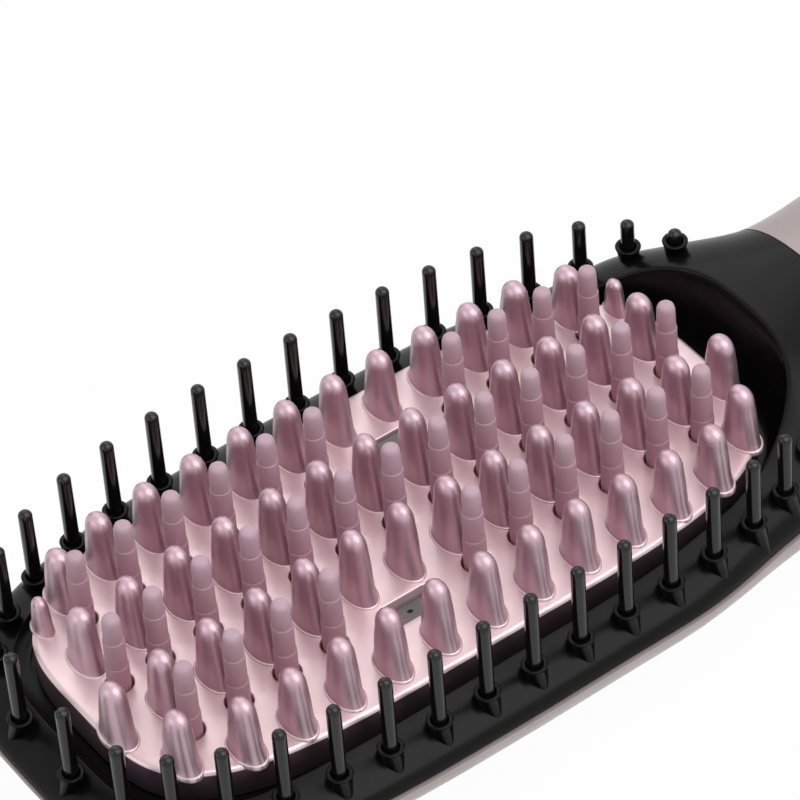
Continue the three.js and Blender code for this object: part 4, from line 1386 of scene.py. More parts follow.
@dataclass
class BristleStrip(Assembly):
    """One strip of matte bristles that stand up through the plate."""

    name: str = "middle"
    row_y: float = 0.0
    columns: tuple[float, ...] = ()
    radius: float = 1.7
    height: float = 15.0
    low: float = 14.7
    half_width: float = 2.5
    end_margin: float = 2.2
    bevel: float = 0.2
    slot_x: float = 8.0
    slot_clear: float = 6.8
    detour_out: float = 1.65
    detour_size: tuple[float, float] = (19.6, 3.9)
    foot_above: float = 0.5
    root_below: float = 2.0
    levels: tuple[tuple[float, float], ...] = (
        (-3.0, 1.7), (0.0, 1.7), (5.9, 1.69), (6.04, 1.67), (6.1, 1.62), (6.12, 1.56),
        (6.5, 1.55), (10.75, 1.54), (10.88, 1.52), (10.94, 1.47), (10.96, 1.41), (11.3, 1.4),
        (13.4, 1.38), (14.5, 1.33), (15.0, 1.18), (15.28, 0.92), (15.4, 0.5),
    )

    def bristle(self) -> bpy.types.Object:
        """One bristle round its own foot, with two faint steps."""
        return Shapes.turned("bristle", self.levels, 20)

    def bars(self) -> list[bpy.types.Object]:
        """The strip under the plate that carries the bristles, stepped round an ion outlet."""
        start = FORM.column(self.columns[0]) - self.end_margin
        end = FORM.column(self.columns[-1]) + self.end_margin
        low, top, bevel = self.low, FORM.ledge_top, self.bevel
        width = 2 * self.half_width
        boxes = [((start + end) / 2, self.row_y, end - start, width)]
        if abs(self.row_y) > width:
            side = math.copysign(1, self.row_y)
            slot_x = self.slot_x * side
            left, right = slot_x - self.slot_clear, slot_x + self.slot_clear
            outside = self.row_y + side * (self.half_width + self.detour_out)
            boxes = [
                ((start + left) / 2, self.row_y, left - start, width),
                ((right + end) / 2, self.row_y, end - right, width),
                (slot_x, outside, *self.detour_size),
            ]
        found = []
        for x, y, length, across in boxes:
            found.append(Shapes.block("bar", [
                (z, length / 2 - inset, across / 2 - inset)
                for z, inset in ((low, bevel), (low + bevel, 0), (top - bevel, 0), (top, bevel))
            ], (x, y)))
            Shapes.dress(found[-1], PALETTE.frosted_rose)
        return found

    def build(self, scatter: Scatter, rods: RodRow) -> None:
        """Make the strip and its bristles.

        Args:
            scatter: The tree that sets the bristles.
            rods: The tree that grows their roots.
        """
        name = f"bristles_{self.name}"
        xs = np.array([FORM.column(c) for c in self.columns])
        plan = raised(xs[:, None], self.row_y)
        made_height = self.levels[-1][0]
        feet = raised(plan, FORM.tip_at(self.height, *plan.T) - made_height)
        shape = self.bristle()
        Shapes.soften(shape, 60)
        bristles = scatter.run(name, shape, feet, PALETTE.frosted_rose)
        start = self.low + self.foot_above
        roots = rods.run(
            f"roots_{self.name}", raised(plan, start), feet[:, 2] - self.root_below - start,
            (self.radius, self.radius), rounding=0.02, finish=PALETTE.frosted_rose,
            sides=20, rings=4,
        )
        piece = Shapes.merged(name, [bristles, roots, *self.bars()])
        self.hand_over(piece, [f"bristle_strip_{self.name}"], Slot.MATTE_ROSE)


BRISTLE_STRIPS = (
    BristleStrip(name="far", row_y=FORM.row_pitch, columns=(*range(1, 7), *range(9, 13))),
    BristleStrip(
        name="middle", row_y=0.04 * FORM.row_pitch,
        columns=(0.65, *[c - 0.5 for c in range(2, 14)]),
    ),
    BristleStrip(
        name="near", row_y=-0.92 * FORM.row_pitch, columns=(*range(1, 5), *range(7, 13)),
    ),
)


@dataclass
class IonOutlet(Assembly):
    """Dark insert in a slot of the plate, with a sloped face and an outlet hole."""

    name: str = "near"
    side: int = -1
    place: tuple[float, float] = (-8.0, -13.4)
    length: float = 9.6
    width: float = 4.2
    corner: float = 1.2
    recess: float = 0.45
    slope: float = 1.1
    hole: float = 1.2
    outlet: float = 0.45
    slot_gap: float = 0.3
    skirt: float = 1.2
    flange_extra: tuple[float, float] = (0.8, 0.4)

    def build(self) -> None:
        """Make the insert and cut its hole."""
        low = FORM.ledge_top - self.skirt
        top = float(FORM.plate_top(*self.place)) - self.recess
        along, across = self.length / 2 - self.slot_gap, self.width / 2 - self.slot_gap

        def ring(inset: float, drop: float) -> Points:
            """Row of points round the sloped face."""
            corner = max(self.corner - inset, 0.15)
            plan = rounded_box(along - inset, across - inset, corner, 6)
            tilt = self.side * plan[:, 1] / across * self.slope / 2
            return raised(plan + self.place, top - self.slope / 2 + tilt - drop)

        foot = raised(ring(0, 0)[:, :2], low + 0.5)
        rows = [foot, ring(0, 0.25), ring(0.07, 0.07), ring(0.25, 0)]
        plug = Shapes.piece(f"ion_insert_{self.name}", *Shapes.skin(rows))
        half = self.length / 2 + self.flange_extra[0], self.width / 2 + self.flange_extra[1]
        flange = Shapes.block("flange", [(low, *half), (FORM.ledge_top, *half)], self.place)
        Shapes.cut(plug, [flange], add=True)
        ceiling = top - self.slope - 0.5
        bore = [(0, self.hole), (ceiling, self.hole), (ceiling, self.outlet), (30, self.outlet)]
        Shapes.cut(plug, [Shapes.turned("bore", bore, 24, middle=self.place)])
        Shapes.soften(plug, 30)
        self.hand_over(plug, [f"ion_outlet_{self.name}"], Slot.DARK_GREY, PALETTE.dark_grey)


@dataclass
class GuardPins(Assembly):
    """The black pins round the head, on the band that joins them."""

    root_radius: float = 1.1
    tip_radius: float = 1.02
    above_crown: float = 10.9
    tilt: float = 0.0075
    crown: float = 0.001
    start: float = 16.9
    runs: tuple[tuple[int, float], ...] = (
        (2, 7.1), (12, 8.0), (2, 7.3), (2, 12.7), (1, 10.5), (2, 7.3), (11, 8.0), (3, 7.1),
    )
    band_inwards: float = 1.4
    band_outwards: float = 0.8
    band_thickness: float = 1.4
    sink: float = 0.35
    rounding: float = 0.045
    sides: int = 28
    rings: int = 22
    band_past: float = 3.0
    band_rows: int = 160

    @property
    def band_top(self) -> float:
        """Height of the top of the band."""
        return FORM.seam - FORM.seam_sag * FORM.edge_tip**2 - FORM.gap

    def stops(self) -> Points:
        """Arc lengths of the pins along their line."""
        steps = [step for count, step in self.runs for _ in range(count)]
        return self.start + np.concatenate([[0], np.cumsum(steps)])

    def places(self) -> Points:
        """Where the pins stand in plan."""
        return FORM.pin_line.walk(self.stops())

    def build(self, rods: RodRow) -> None:
        """Grow the pins and lay the band under them.

        Args:
            rods: The tree that grows the pins.
        """
        flat = self.places()
        x = flat[:, 0]
        tips = FORM.plate_crown + self.above_crown - self.tilt * x - self.crown * x * x
        foot = self.band_top - self.sink
        pins = rods.run(
            "guard_pins", raised(flat, foot), tips - foot, (self.root_radius, self.tip_radius),
            self.rounding, PALETTE.pin_black, self.sides, self.rings,
        )
        Shapes.soften(pins, 40)
        stops = self.stops()
        along = np.linspace(stops[0] - self.band_past, stops[-1] + self.band_past, self.band_rows)
        line, out = FORM.pin_line.walk(along), FORM.pin_line.outwards(along)
        outer, inner = line + out * self.band_outwards, line - out * self.band_inwards
        low, high = self.band_top - self.band_thickness, self.band_top
        rows = [
            np.array([(*o, low), (*i, low), (*i, high), (*o, high)])
            for o, i in zip(outer, inner)
        ]
        band = Shapes.piece("pin_band", *Shapes.skin(rows))
        Shapes.dress(band, PALETTE.pin_black)
        piece = Shapes.merged("guard_pins", [pins, band])
        self.hand_over(piece, ["outer_pin_ring"], Slot.GLOSS_BLACK)


@dataclass
class HeadFrame(Assembly):
    """Black frame of the head with its scoop, collars and neck."""

    columns: int = 320
    scoop_rows: int = 14
    outer_rows: int = 22
    ledge_width: float = 2.6
    ledge_thickness: float = 1.5
    scoop_start: float = 0.6
    scoop_ease: float = 0.8
    scoop_power: float = 2.5
    crest_shares: tuple[float, ...] = (0.02, 0.045, 0.08)
    inner_rows: int = 8
    skirt_shares: tuple[float, ...] = (0.66, 0.33, 0.0)
    corner_y: float = 15.0
    collar_above: float = 2.05
    collar_length: float = 5.0
    collar_lean: float = 0.2
    collar_sides: int = 28
    lip_radius: float = 1.82
    foot_radius: float = 0.9
    bore_radius: float = 1.2
    bore_levels: tuple[tuple[float, float], ...] = ((-6.0, 1.25), (6.0, 1.45))

    def border(self, angles: Points, inset: float = 0.0) -> Points:
        """Outer border of the frame in plan, one point for each angle of the crest.

        Args:
            angles: Angles round the crest.
            inset: How far inside the border.

        Returns:
            One x, y pair for each angle.
        """
        x, y = FORM.crest.points(angles).T
        tip_line = Outline(
            FORM.edge_tip, FORM.edge_tip, FORM.edge_half, FORM.edge_power, FORM.edge_power
        ).points(angles, -inset)
        n = FORM.crest.neck_power
        corner_x = FORM.crest.neck * (1 - (self.corner_y / FORM.crest.half) ** n) ** (1 / n)
        reach = np.clip(x / corner_x, 0, 1)
        along = np.where(x < corner_x, x + (FORM.neck_end - corner_x) * reach**4, FORM.neck_end)
        sides = FORM.half_width(along, inset)
        end = float(FORM.half_width(FORM.neck_end, inset))
        across = np.where(
            x < corner_x, np.sign(y) * sides, end * np.clip(y / self.corner_y, -1, 1)
        )
        behind = np.column_stack([along, across])
        return np.where((np.cos(angles) >= 0)[:, None], behind, tip_line)

    def profile(self) -> list[Points]:
        """Rings of the frame, from the ledge over the crest and round to the inside.

        Returns:
            Rings that close on themselves.
        """
        angles = FORM.crest.even_angles(self.columns)
        plate, crest = FORM.plate, FORM.crest.points(angles)
        top, low = FORM.ledge_top, FORM.ledge_top - self.ledge_thickness
        ledge = plate.points(angles, -self.ledge_width)
        wall = plate.points(angles, FORM.plate_gap)
        start = top + self.scoop_start
        crest_height = FORM.top_height(*crest.T)
        rows = [raised(ledge, low), raised(ledge, top), raised(wall, top)]
        for share in np.linspace(0, 1, self.scoop_rows) ** self.scoop_ease:
            ring = wall + (crest - wall) * share
            rows.append(raised(ring, start + (crest_height - start) * share**self.scoop_power))
        crest_row = len(rows) - 1
        edge = self.border(angles)
        outer_shares = np.sin(np.linspace(0.13, math.pi / 2, self.outer_rows))
        for share in (*self.crest_shares, *outer_shares):
            ring = crest + (edge - crest) * share
            rows.append(raised(ring, FORM.top_height(*ring.T)))
        for r in range(crest_row - 1, crest_row + 2):
            rows[r] = (rows[r - 1] + 2 * rows[r] + rows[r + 1]) / 4
        inner = self.border(angles, FORM.wall)
        under_crest = FORM.crest.points(angles, FORM.rim_wall)
        for share in np.linspace(1, 0, self.inner_rows):
            ring = under_crest + (inner - under_crest) * share
            rows.append(raised(ring, FORM.top_height(*ring.T, FORM.wall)))
        skirt = plate.points(angles, FORM.plate_gap + FORM.rim_wall)
        under = FORM.top_height(*under_crest.T, FORM.wall)
        foot = top - 0.2
        for share in self.skirt_shares:
            ring = skirt + (under_crest - skirt) * share
            rows.append(raised(ring, foot + (under - foot) * share**self.scoop_power))
        rows.append(raised(skirt, low))
        return rows

    def collar(self) -> bpy.types.Object:
        """One collar round the middle of its lip.

        Returns:
            A cup with a rounded lip, narrower below, whose foot is drawn out along X.
        """
        lip, bore = self.lip_radius, self.bore_radius
        levels = [
            (-0.5, lip - 0.03), (-0.4, lip), (-0.3, lip + 0.08), (-0.16, lip + 0.1),
            (-0.05, lip + 0.02), (0.0, lip - 0.12), (0.0, bore + 0.12), (-0.08, bore + 0.02),
            (-0.3, bore), (-0.6, bore - 0.05),
        ]
        ring = circle(self.collar_sides)
        shift = self.collar_lean * self.collar_length / 2
        foot = ring * (lip - 0.03 + shift, self.foot_radius) + (shift, 0.0)
        rows = [raised(foot, -self.collar_length)]
        rows += [raised(ring * radius, z) for z, radius in levels]
        return Shapes.piece("collar", *Shapes.skin(rows, loop=True))

    def build(self, scatter: Scatter, pins: GuardPins) -> None:
        """Make the frame, bore it for the pins and set the collars.

        Args:
            scatter: The tree that sets the collars.
            pins: The pins that pass through it.
        """
        places = pins.places()
        tops = FORM.top_height(*places.T)
        bore = Shapes.turned("bore", self.bore_levels, 20)
        bores = scatter.run("bores", bore, raised(places, tops), PALETTE.satin_black)
        shell = Shapes.piece("frame_shell", *Shapes.skin(self.profile(), loop=True))
        Shapes.cut(shell, [bores])
        shell.data.materials.clear()
        shell.data.materials.append(PALETTE.satin_black.build())
        Shapes.soften(shell, 32, Side.FRONT)
        shape = self.collar()
        Shapes.soften(shape, 50)
        x, y = FORM.pin_line.outwards(pins.stops()).T
        collars = scatter.run(
            "collars", shape, raised(places, tops + self.collar_above), PALETTE.satin_black,
            turns=np.arctan2(y, x),
        )
        piece = Shapes.merged("head_frame", [shell, collars])
        self.hand_over(piece, ["front_frame"], Slot.GLOSS_BLACK)


@dataclass
class Shells(Assembly):
    """Pearl back cover and handle cover."""

    arch: int = 56
    round_steps: int = 22
    coarse_step: float = 4.0
    fine_step: float = 1.5
    fine_part: tuple[float, float] = (40.0, 92.0)
    window: tuple[float, float, float, float] = (104.0, 32.0, 15.0, 3.0)
    boss_radius: float = 3.4
    boss_top: float = 9.7
    screw_places: tuple[tuple[float, float], ...] = (
        (-43.5, 19.2), (-43.5, -19.2), (78.5, 0.0), (197.0, 0.0),
    )
    screw_sunk: float = 1.4
    seat_length: float = 1.8
    seat_radius: float = 2.3
    shaft_radius: float = 1.3

    def stations(self, reach: float, start: float, end: float) -> Points:
        """Places along X, close together round the tip.

        Args:
            reach: Distance of the tip from the middle of the head.
            start: First place, or less than the tip for the tip itself.
            end: Last place.

        Returns:
            Rising places.
        """
        turn = np.linspace(0, math.pi / 2, self.round_steps, endpoint=False)
        tip = -reach * np.cos(turn) ** (2 / FORM.edge_power)
        first, last = self.fine_part
        straight = np.concatenate([
            np.arange(0, first, self.coarse_step), np.arange(first, last, self.fine_step),
            np.arange(last, end - 0.5, self.coarse_step),
        ])
        places = np.concatenate([tip[tip < -1], straight, [end]])
        places = places[places > start + 0.2]
        return np.concatenate([[start], places]) if start > -reach else places

    def rows(self, side: Side, places: Points, inset: float) -> Points:
        """Rows of points over a side of the body.

        Args:
            side: The side.
            places: Places along X.
            inset: How far inside the surface.

        Returns:
            One row from edge to edge for each place.
        """
        front = side is Side.FRONT
        half = FORM.half_width(places, inset if front else inset - FORM.overhang)
        y = side.value * half[:, None] * np.cos(np.linspace(0, math.pi, self.arch + 1))
        x = np.broadcast_to(places[:, None], y.shape)
        rim = FORM.seam_height(places)[:, None] - (0.0 if front else FORM.gap)
        if front:
            z = FORM.top_height(x, y, inset)
        else:
            z = np.minimum(FORM.back_height(x, y, inset), rim)
        z[:, [0, -1]] = rim
        return np.stack([x, y, z], axis=-1)

    def back_cover(self) -> None:
        """Make the back cover with its screw bosses."""
        reach = FORM.edge_tip + FORM.overhang
        outer = self.stations(reach, -reach - 1, FORM.tail)
        inner = outer.copy()
        inner[outer < -1] *= (reach - FORM.wall) / reach
        shell = Shapes.sheet(
            "back_cover", self.rows(Side.BACK, outer, 0.0), self.rows(Side.BACK, inner, FORM.wall)
        )
        bosses, bores = [], []
        for place in self.screw_places:
            floor = float(FORM.back_height(*place))
            seat = floor + self.screw_sunk + self.seat_length
            for found, radius, low, high, sides in (
                (bosses, self.boss_radius, floor + 1, self.boss_top, 32),
                (bores, self.shaft_radius, -1, 11, 24),
                (bores, self.seat_radius, -1, seat, 32),
            ):
                levels = [(low, radius), (high, radius)]
                found.append(Shapes.turned("screw_place", levels, sides, middle=place))
        Shapes.cut(shell, bosses, add=True)
        Shapes.cut(shell, bores)
        Shapes.soften(shell, 32, Side.BACK)
        self.hand_over(shell, ["back_shell"], Slot.PEARL, PALETTE.pearl)

    def handle_cover(self, buttons: Sequence["ControlButton"]) -> None:
        """Make the handle cover with its window and button openings.

        Args:
            buttons: The buttons that stand in it.
        """
        places = self.stations(FORM.edge_tip, FORM.neck_end + FORM.gap, FORM.tail)
        shell = Shapes.sheet(
            "handle_cover",
            self.rows(Side.FRONT, places, 0.0), self.rows(Side.FRONT, places, FORM.wall),
        )
        x, length, width, corner = self.window
        ring = rounded_box(length / 2 + FORM.gap, width / 2 + FORM.gap, corner) + (x, 0.0)
        rows = [raised(ring, z) for z in (22, 60)]
        tools = [Shapes.piece("window_cut", *Shapes.skin(rows))]
        for button in buttons:
            half = button.along + FORM.gap, button.across + FORM.gap
            tools.append(Shapes.turned(
                "button_cut", [(16, *half), (60, *half)], 48, middle=(button.x, 0.0)
            ))
        Shapes.cut(shell, tools)
        Shapes.soften(shell, 32, Side.FRONT)
        self.hand_over(shell, ["handle_front"], Slot.PEARL, PALETTE.pearl)


@dataclass
class DisplayWindow(Assembly):
    """Smoked window that follows the crown of the handle, with its digits."""

    x: float = 104.0
    length: float = 32.0
    width: float = 15.0
    corner: float = 2.7
    thickness: float = 1.6
    digit_height: float = 7.0
    digit_width: float = 3.8
    digit_pitch: float = 5.8
    stroke: float = 0.7

    def pane(self) -> bpy.types.Object:
        """The window itself, with a softly rounded edge."""

        def ring(scale: float, drop: float, inset: float = 0.0) -> Points:
            """Row of points round the pane, under the top of the handle."""
            plan = scale * rounded_box(
                self.length / 2 - inset, self.width / 2 - inset, max(self.corner - inset, 0.3)
            ) + (self.x, 0.0)
            return raised(plan, FORM.top_height(*plan.T) - drop)

        rows = [ring(s, self.thickness) for s in (0.02, 0.25, 0.5, 0.75, 1)]
        rows += [ring(1, 0.3), ring(1, 0.09, 0.09), ring(1, 0, 0.3)]
        rows += [ring(s, 0.0) for s in (0.86, 0.7, 0.55, 0.4, 0.25, 0.1, 0.02)]
        pane = Shapes.piece("display_pane", *Shapes.skin(rows))
        Shapes.soften(pane, 50)
        return pane

    def segment(self, x: float, y: float, along: float, across: float) -> bpy.types.Object:
        """One bar of a digit, a hair above the pane."""
        plan = np.array(CORNERS) * (along / 2, across / 2) + (x, y)
        height = FORM.top_height(*plan.T)
        rows = [raised(plan, height + lift) for lift in (-0.2, 0.02)]
        return Shapes.piece("segment", *Shapes.skin(rows))

    def digits(self, text: str) -> bpy.types.Object:
        """Plain seven-bar digits that read from the side of the handle.

        Args:
            text: The digits to show, out of 0, 1 and 8.

        Returns:
            One object with all bars.
        """
        lit = {"0": "abcdef", "1": "bc", "8": "abcdefg"}
        w, h, s = self.digit_width, self.digit_height, self.stroke
        bars = {
            "a": (0, h / 2, w - s, s), "g": (0, 0, w - s, s), "d": (0, -h / 2, w - s, s),
            "b": (w / 2, h / 4, s, h / 2 - s), "c": (w / 2, -h / 4, s, h / 2 - s),
            "f": (-w / 2, h / 4, s, h / 2 - s), "e": (-w / 2, -h / 4, s, h / 2 - s),
        }
        found = []
        start = self.x - self.digit_pitch * (len(text) - 1) / 2
        for number, digit in enumerate(text):
            middle = start + number * self.digit_pitch
            for name in lit[digit]:
                bx, by, along, across = bars[name]
                found.append(self.segment(middle + bx, by, along, across))
        return Shapes.merged("display_digits", found)

    def build(self) -> None:
        """Make the pane and its digits."""
        self.hand_over(self.pane(), ["display_window"], Slot.SMOKED, PALETTE.smoked)
        self.hand_over(self.digits("180"), [], None, PALETTE.symbol)


class Symbol(Enum):
    """Generic signs on the buttons."""

    POWER = "power"
    PLUS = "plus"
    MINUS = "minus"


@dataclass
class ControlButton(Assembly):
    """A push button with a crowned cap, its flange and stem, and a printed sign."""

    name: str = "power"
    symbol: Symbol = Symbol.POWER
    x: float = 134.0
    along: float = 5.2
    across: float = 5.2
    proud: float = 0.9
    flange_extra: float = 1.2
    flange_thickness: float = 1.0
    stem_radius: float = 1.8
    stem_low: float = 22.7
    dish: float = 0.35
    rim: float = 0.9
    edge: tuple[tuple[float, float], ...] = (
        (0.9, 0.0), (0.5, 0.06), (0.2, 0.24), (0.05, 0.52), (0.0, 0.9),
    )
    dish_shares: tuple[float, ...] = (0.75, 0.55, 0.35, 0.18, 0.05)
    sign_reach: float = 1.5
    arc_radius: float = 1.6

    def build(self) -> None:
        """Make the button and its sign."""
        top = float(FORM.top_height(self.x, 0.0)) + self.proud
        reach = self.across + self.flange_extra
        flange_top = float(FORM.top_height(self.x, reach, FORM.wall)) - FORM.gap
        flange_low = flange_top - self.flange_thickness
        a, b = self.along, self.across
        wide = a + self.flange_extra, reach
        levels = [
            (self.stem_low, self.stem_radius - 0.3), (self.stem_low + 0.3, self.stem_radius),
            (flange_low, self.stem_radius),
            (flange_low, *wide), (flange_top, *wide), (flange_top, a, b),
        ]
        levels += [(top - drop, a - inset, b - inset) for drop, inset in self.edge]
        levels += [
            (top - self.dish * (1 - share**2), (a - self.rim) * share, (b - self.rim) * share)
            for share in self.dish_shares
        ]
        cap = Shapes.turned(f"{self.name}_cap", levels, 48, middle=(self.x, 0.0))
        Shapes.soften(cap, 40)
        self.hand_over(cap, [f"{self.name}_button"], Slot.BUTTON_BLACK, PALETTE.button)
        self.hand_over(self.sign(top), [], None, PALETTE.symbol)

    def dished(self, x: float, y: float, top: float) -> float:
        """Height of the dished face of the cap at a point round its middle."""
        share = math.hypot(x / (self.along - self.rim), y / (self.across - self.rim))
        return top - self.dish * (1 - min(share, 1.0) ** 2)

    def strip(self, path: Points, top: float, width: float = 0.45) -> bpy.types.Object:
        """A printed stroke along a line on the cap.

        Args:
            path: Points round the middle of the cap.
            top: Height of the rim of the cap.
            width: Width of the stroke.

        Returns:
            The object.
        """
        ahead = np.gradient(path, axis=0)
        ahead /= np.linalg.norm(ahead, axis=1)[:, None]
        out = np.column_stack([-ahead[:, 1], ahead[:, 0]]) * width / 2
        rows = []
        for point, side in zip(path, out):
            corners = []
            for sign, lift in ((1, -0.15), (1, 0.03), (-1, 0.03), (-1, -0.15)):
                x, y = point + sign * side
                corners.append((self.x + x, y, self.dished(x, y, top) + lift))
            rows.append(np.array(corners))
        return Shapes.piece("stroke", *Shapes.skin(rows))

    def sign(self, top: float) -> bpy.types.Object:
        """The sign on the cap.

        Args:
            top: Height of the rim of the cap.

        Returns:
            One object with its strokes.
        """
        reach = np.linspace(-self.sign_reach, self.sign_reach, 9)
        bar, post = raised(reach[:, None], 0.0), np.column_stack([0 * reach, reach])
        if self.symbol is Symbol.MINUS:
            lines = [post]
        elif self.symbol is Symbol.PLUS:
            lines = [bar, post]
        else:
            turn = np.linspace(math.radians(35), math.radians(325), 40)
            arc = self.arc_radius * np.column_stack([-np.cos(turn), np.sin(turn)])
            lines = [arc, raised(np.linspace(-0.5, -2.0, 9)[:, None], 0.0)]
        return Shapes.merged(f"{self.name}_sign", [self.strip(line, top) for line in lines])


@dataclass
class Tail(Assembly):
    """Cap at the tail and the swivelling gland in it."""

    gland_radius: float = 5.0
    gland_bore: float = 2.6
    gland_flange: float = 7.0
    gland_length: float = 12.0
    flange_length: float = 2.0
    ribs: int = 5
    taper: float = 0.12
    sides: int = 48

    @property
    def axis_height(self) -> float:
        """Height of the axis of the gland."""
        front = float(FORM.top_height(FORM.tail, 0.0))
        back = float(FORM.back_height(FORM.tail, 0.0))
        return (front + back) / 2

    def lying(
        self, name: str, levels: Sequence[tuple[float, float]], loop: bool = False
    ) -> bpy.types.Object:
        """Turned body that lies along X on the axis of the gland.

        Args:
            name: Name of the object.
            levels: Pairs of place along X and radius.
            loop: Whether the last level joins the first.

        Returns:
            The object.
        """
        ring = circle(self.sides)
        rows = []
        for x, radius in levels:
            section = radius * ring + (0.0, self.axis_height)
            rows.append(np.column_stack([np.full(self.sides, x), section]))
        return Shapes.piece(name, *Shapes.skin(rows, loop))

    def cap(self, shells: Shells) -> None:
        """Make the tail cap.

        Args:
            shells: The covers that it closes.
        """
        place = np.array([FORM.tail])
        over = shells.rows(Side.FRONT, place, 0.0)[0]
        under = shells.rows(Side.BACK, place, FORM.overhang)[0][1:-1]
        section = np.concatenate([over, under])[:, 1:]
        middle = np.array([0.0, self.axis_height])
        start = FORM.tail + FORM.gap
        length = FORM.cap_length - FORM.gap
        shares = [(0.0, 0.985), (0.03, 1.0)]
        shares += [
            (0.45 + 0.55 * math.sin(a), 0.55 + 0.43 * math.cos(a) ** 0.9)
            for a in np.linspace(0.0, math.pi / 2, 14)
        ]
        rows = [
            np.column_stack([
                np.full(len(section), start + t * length), middle + (section - middle) * s,
            ])
            for t, s in shares
        ]
        cap = Shapes.piece("tail_cap", *Shapes.skin(rows))
        reach = self.gland_radius + FORM.gap
        pocket = self.gland_flange + FORM.gap
        end = start + self.flange_length + FORM.gap
        bore = self.lying("bore", [
            (FORM.tail - 1, pocket), (end, pocket), (end, reach), (FORM.tail + 14, reach),
        ])
        Shapes.cut(cap, [bore])
        Shapes.soften(cap, 32)
        self.hand_over(cap, ["end_cap"], Slot.GLOSS_BLACK, PALETTE.satin_black)

    def gland(self) -> None:
        """Make the gland with its ribs."""
        start = FORM.tail + FORM.gap
        end = FORM.tail + FORM.cap_length + self.gland_length
        flange = start + self.flange_length
        levels = [
            (start, self.gland_bore), (start, self.gland_flange - 0.2),
            (start + 0.2, self.gland_flange), (flange - 0.2, self.gland_flange),
            (flange, self.gland_flange - 0.2), (flange, self.gland_radius),
        ]
        first = FORM.tail + FORM.cap_length + 1.2
        pitch = (end - 1.4 - first) / self.ribs
        levels.append((first, self.gland_radius))
        for number in range(self.ribs):
            rib = first + number * pitch
            full = self.gland_radius - self.taper * number
            slim = full - 0.75
            levels += [
                (rib + 0.05, full - 0.1), (rib + 0.2, slim), (rib + pitch * 0.4, slim),
                (rib + pitch * 0.52, full - 0.2), (rib + pitch * 0.6, full - 0.1),
                (rib + pitch - 0.1, full - 0.12),
            ]
        levels += [
            (end - 0.5, self.gland_radius - 0.8), (end - 0.1, self.gland_radius - 1.1),
            (end, self.gland_bore + 0.5), (end - 0.3, self.gland_bore),
        ]
        gland = self.lying("gland_sleeve", levels, loop=True)
        Shapes.soften(gland, 40)
        self.hand_over(gland, ["cord_gland"], Slot.GLAND_BLACK, PALETTE.gland, body="gland")


@dataclass
class CaseScrews(Assembly):
    """The four screws in the back, with cross recesses."""

    head_levels: tuple[tuple[float, float], ...] = (
        (0.0, 1.0), (0.02, 1.3), (0.12, 1.72), (0.35, 1.95), (0.7, 2.0), (1.5, 2.0),
    )
    arm: tuple[float, float] = (1.15, 0.28)
    arm_levels: tuple[tuple[float, float], ...] = ((-0.5, 1.1), (0.9, 0.75))
    shaft_radius: float = 1.0
    tip: float = 14.5

    def head(self) -> bpy.types.Object:
        """One screw head round its underside, with a rounded rim and a cross recess."""
        head = Shapes.turned("screw_head", self.head_levels, 40)
        Shapes.cut(head, [
            Shapes.block("arm", [(z, along * s, across * s) for z, s in self.arm_levels])
            for along, across in (self.arm, self.arm[::-1])
        ])
        Shapes.soften(head, 35)
        return head

    def build(self, scatter: Scatter, rods: RodRow, shells: Shells) -> None:
        """Set the heads and shafts.

        Args:
            scatter: The tree that sets the heads.
            rods: The tree that grows the shafts.
            shells: The covers that say where the screws are.
        """
        places = np.array(shells.screw_places)
        floors = FORM.back_height(*places.T) + shells.screw_sunk
        heads = scatter.run("case_screws", self.head(), raised(places, floors), PALETTE.steel)
        start = floors + 1.0
        shafts = rods.run(
            "screw_shafts", raised(places, start), self.tip - start,
            (self.shaft_radius, self.shaft_radius * 0.9), rounding=0.1, finish=PALETTE.steel,
            sides=16, rings=8,
        )
        nodes = [f"case_screw_{i + 1}" for i in range(len(places))]
        self.hand_over(Shapes.merged("case_screws", [heads, shafts]), nodes, Slot.STEEL)


@dataclass
class InnerWorks:
    """Nodes inside the shells that keep their own mesh and get a finish."""

    finishes: tuple[tuple[Finish, tuple[str, ...]], ...] = (
        (PALETTE.lead, ("heater_lead",)),
        (PALETTE.mica, ("heater_clamp",)),
        (PALETTE.aluminium, ("heater_", "thermal_fuse")),
        (PALETTE.steel, ("ion_emitter", "clamp_screw", "board_screw", "thermistor")),
        (PALETTE.board, ("control_board",)),
        (PALETTE.dark_grey, (
            "ion_module", "display_module", "power_switch", "plus_switch", "minus_switch",
        )),
    )

    def build(self) -> None:
        """Dress every node that is still shown."""
        for name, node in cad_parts.items():
            if node.hide_render:
                continue
            for finish, starts in self.finishes:
                if name.startswith(starts):
                    node.data.materials.clear()
                    node.data.materials.append(finish.build())
                    log.info("%s dressed", name)
                    break
            else:
                log.warning("%s has no finish", name)


# Studio


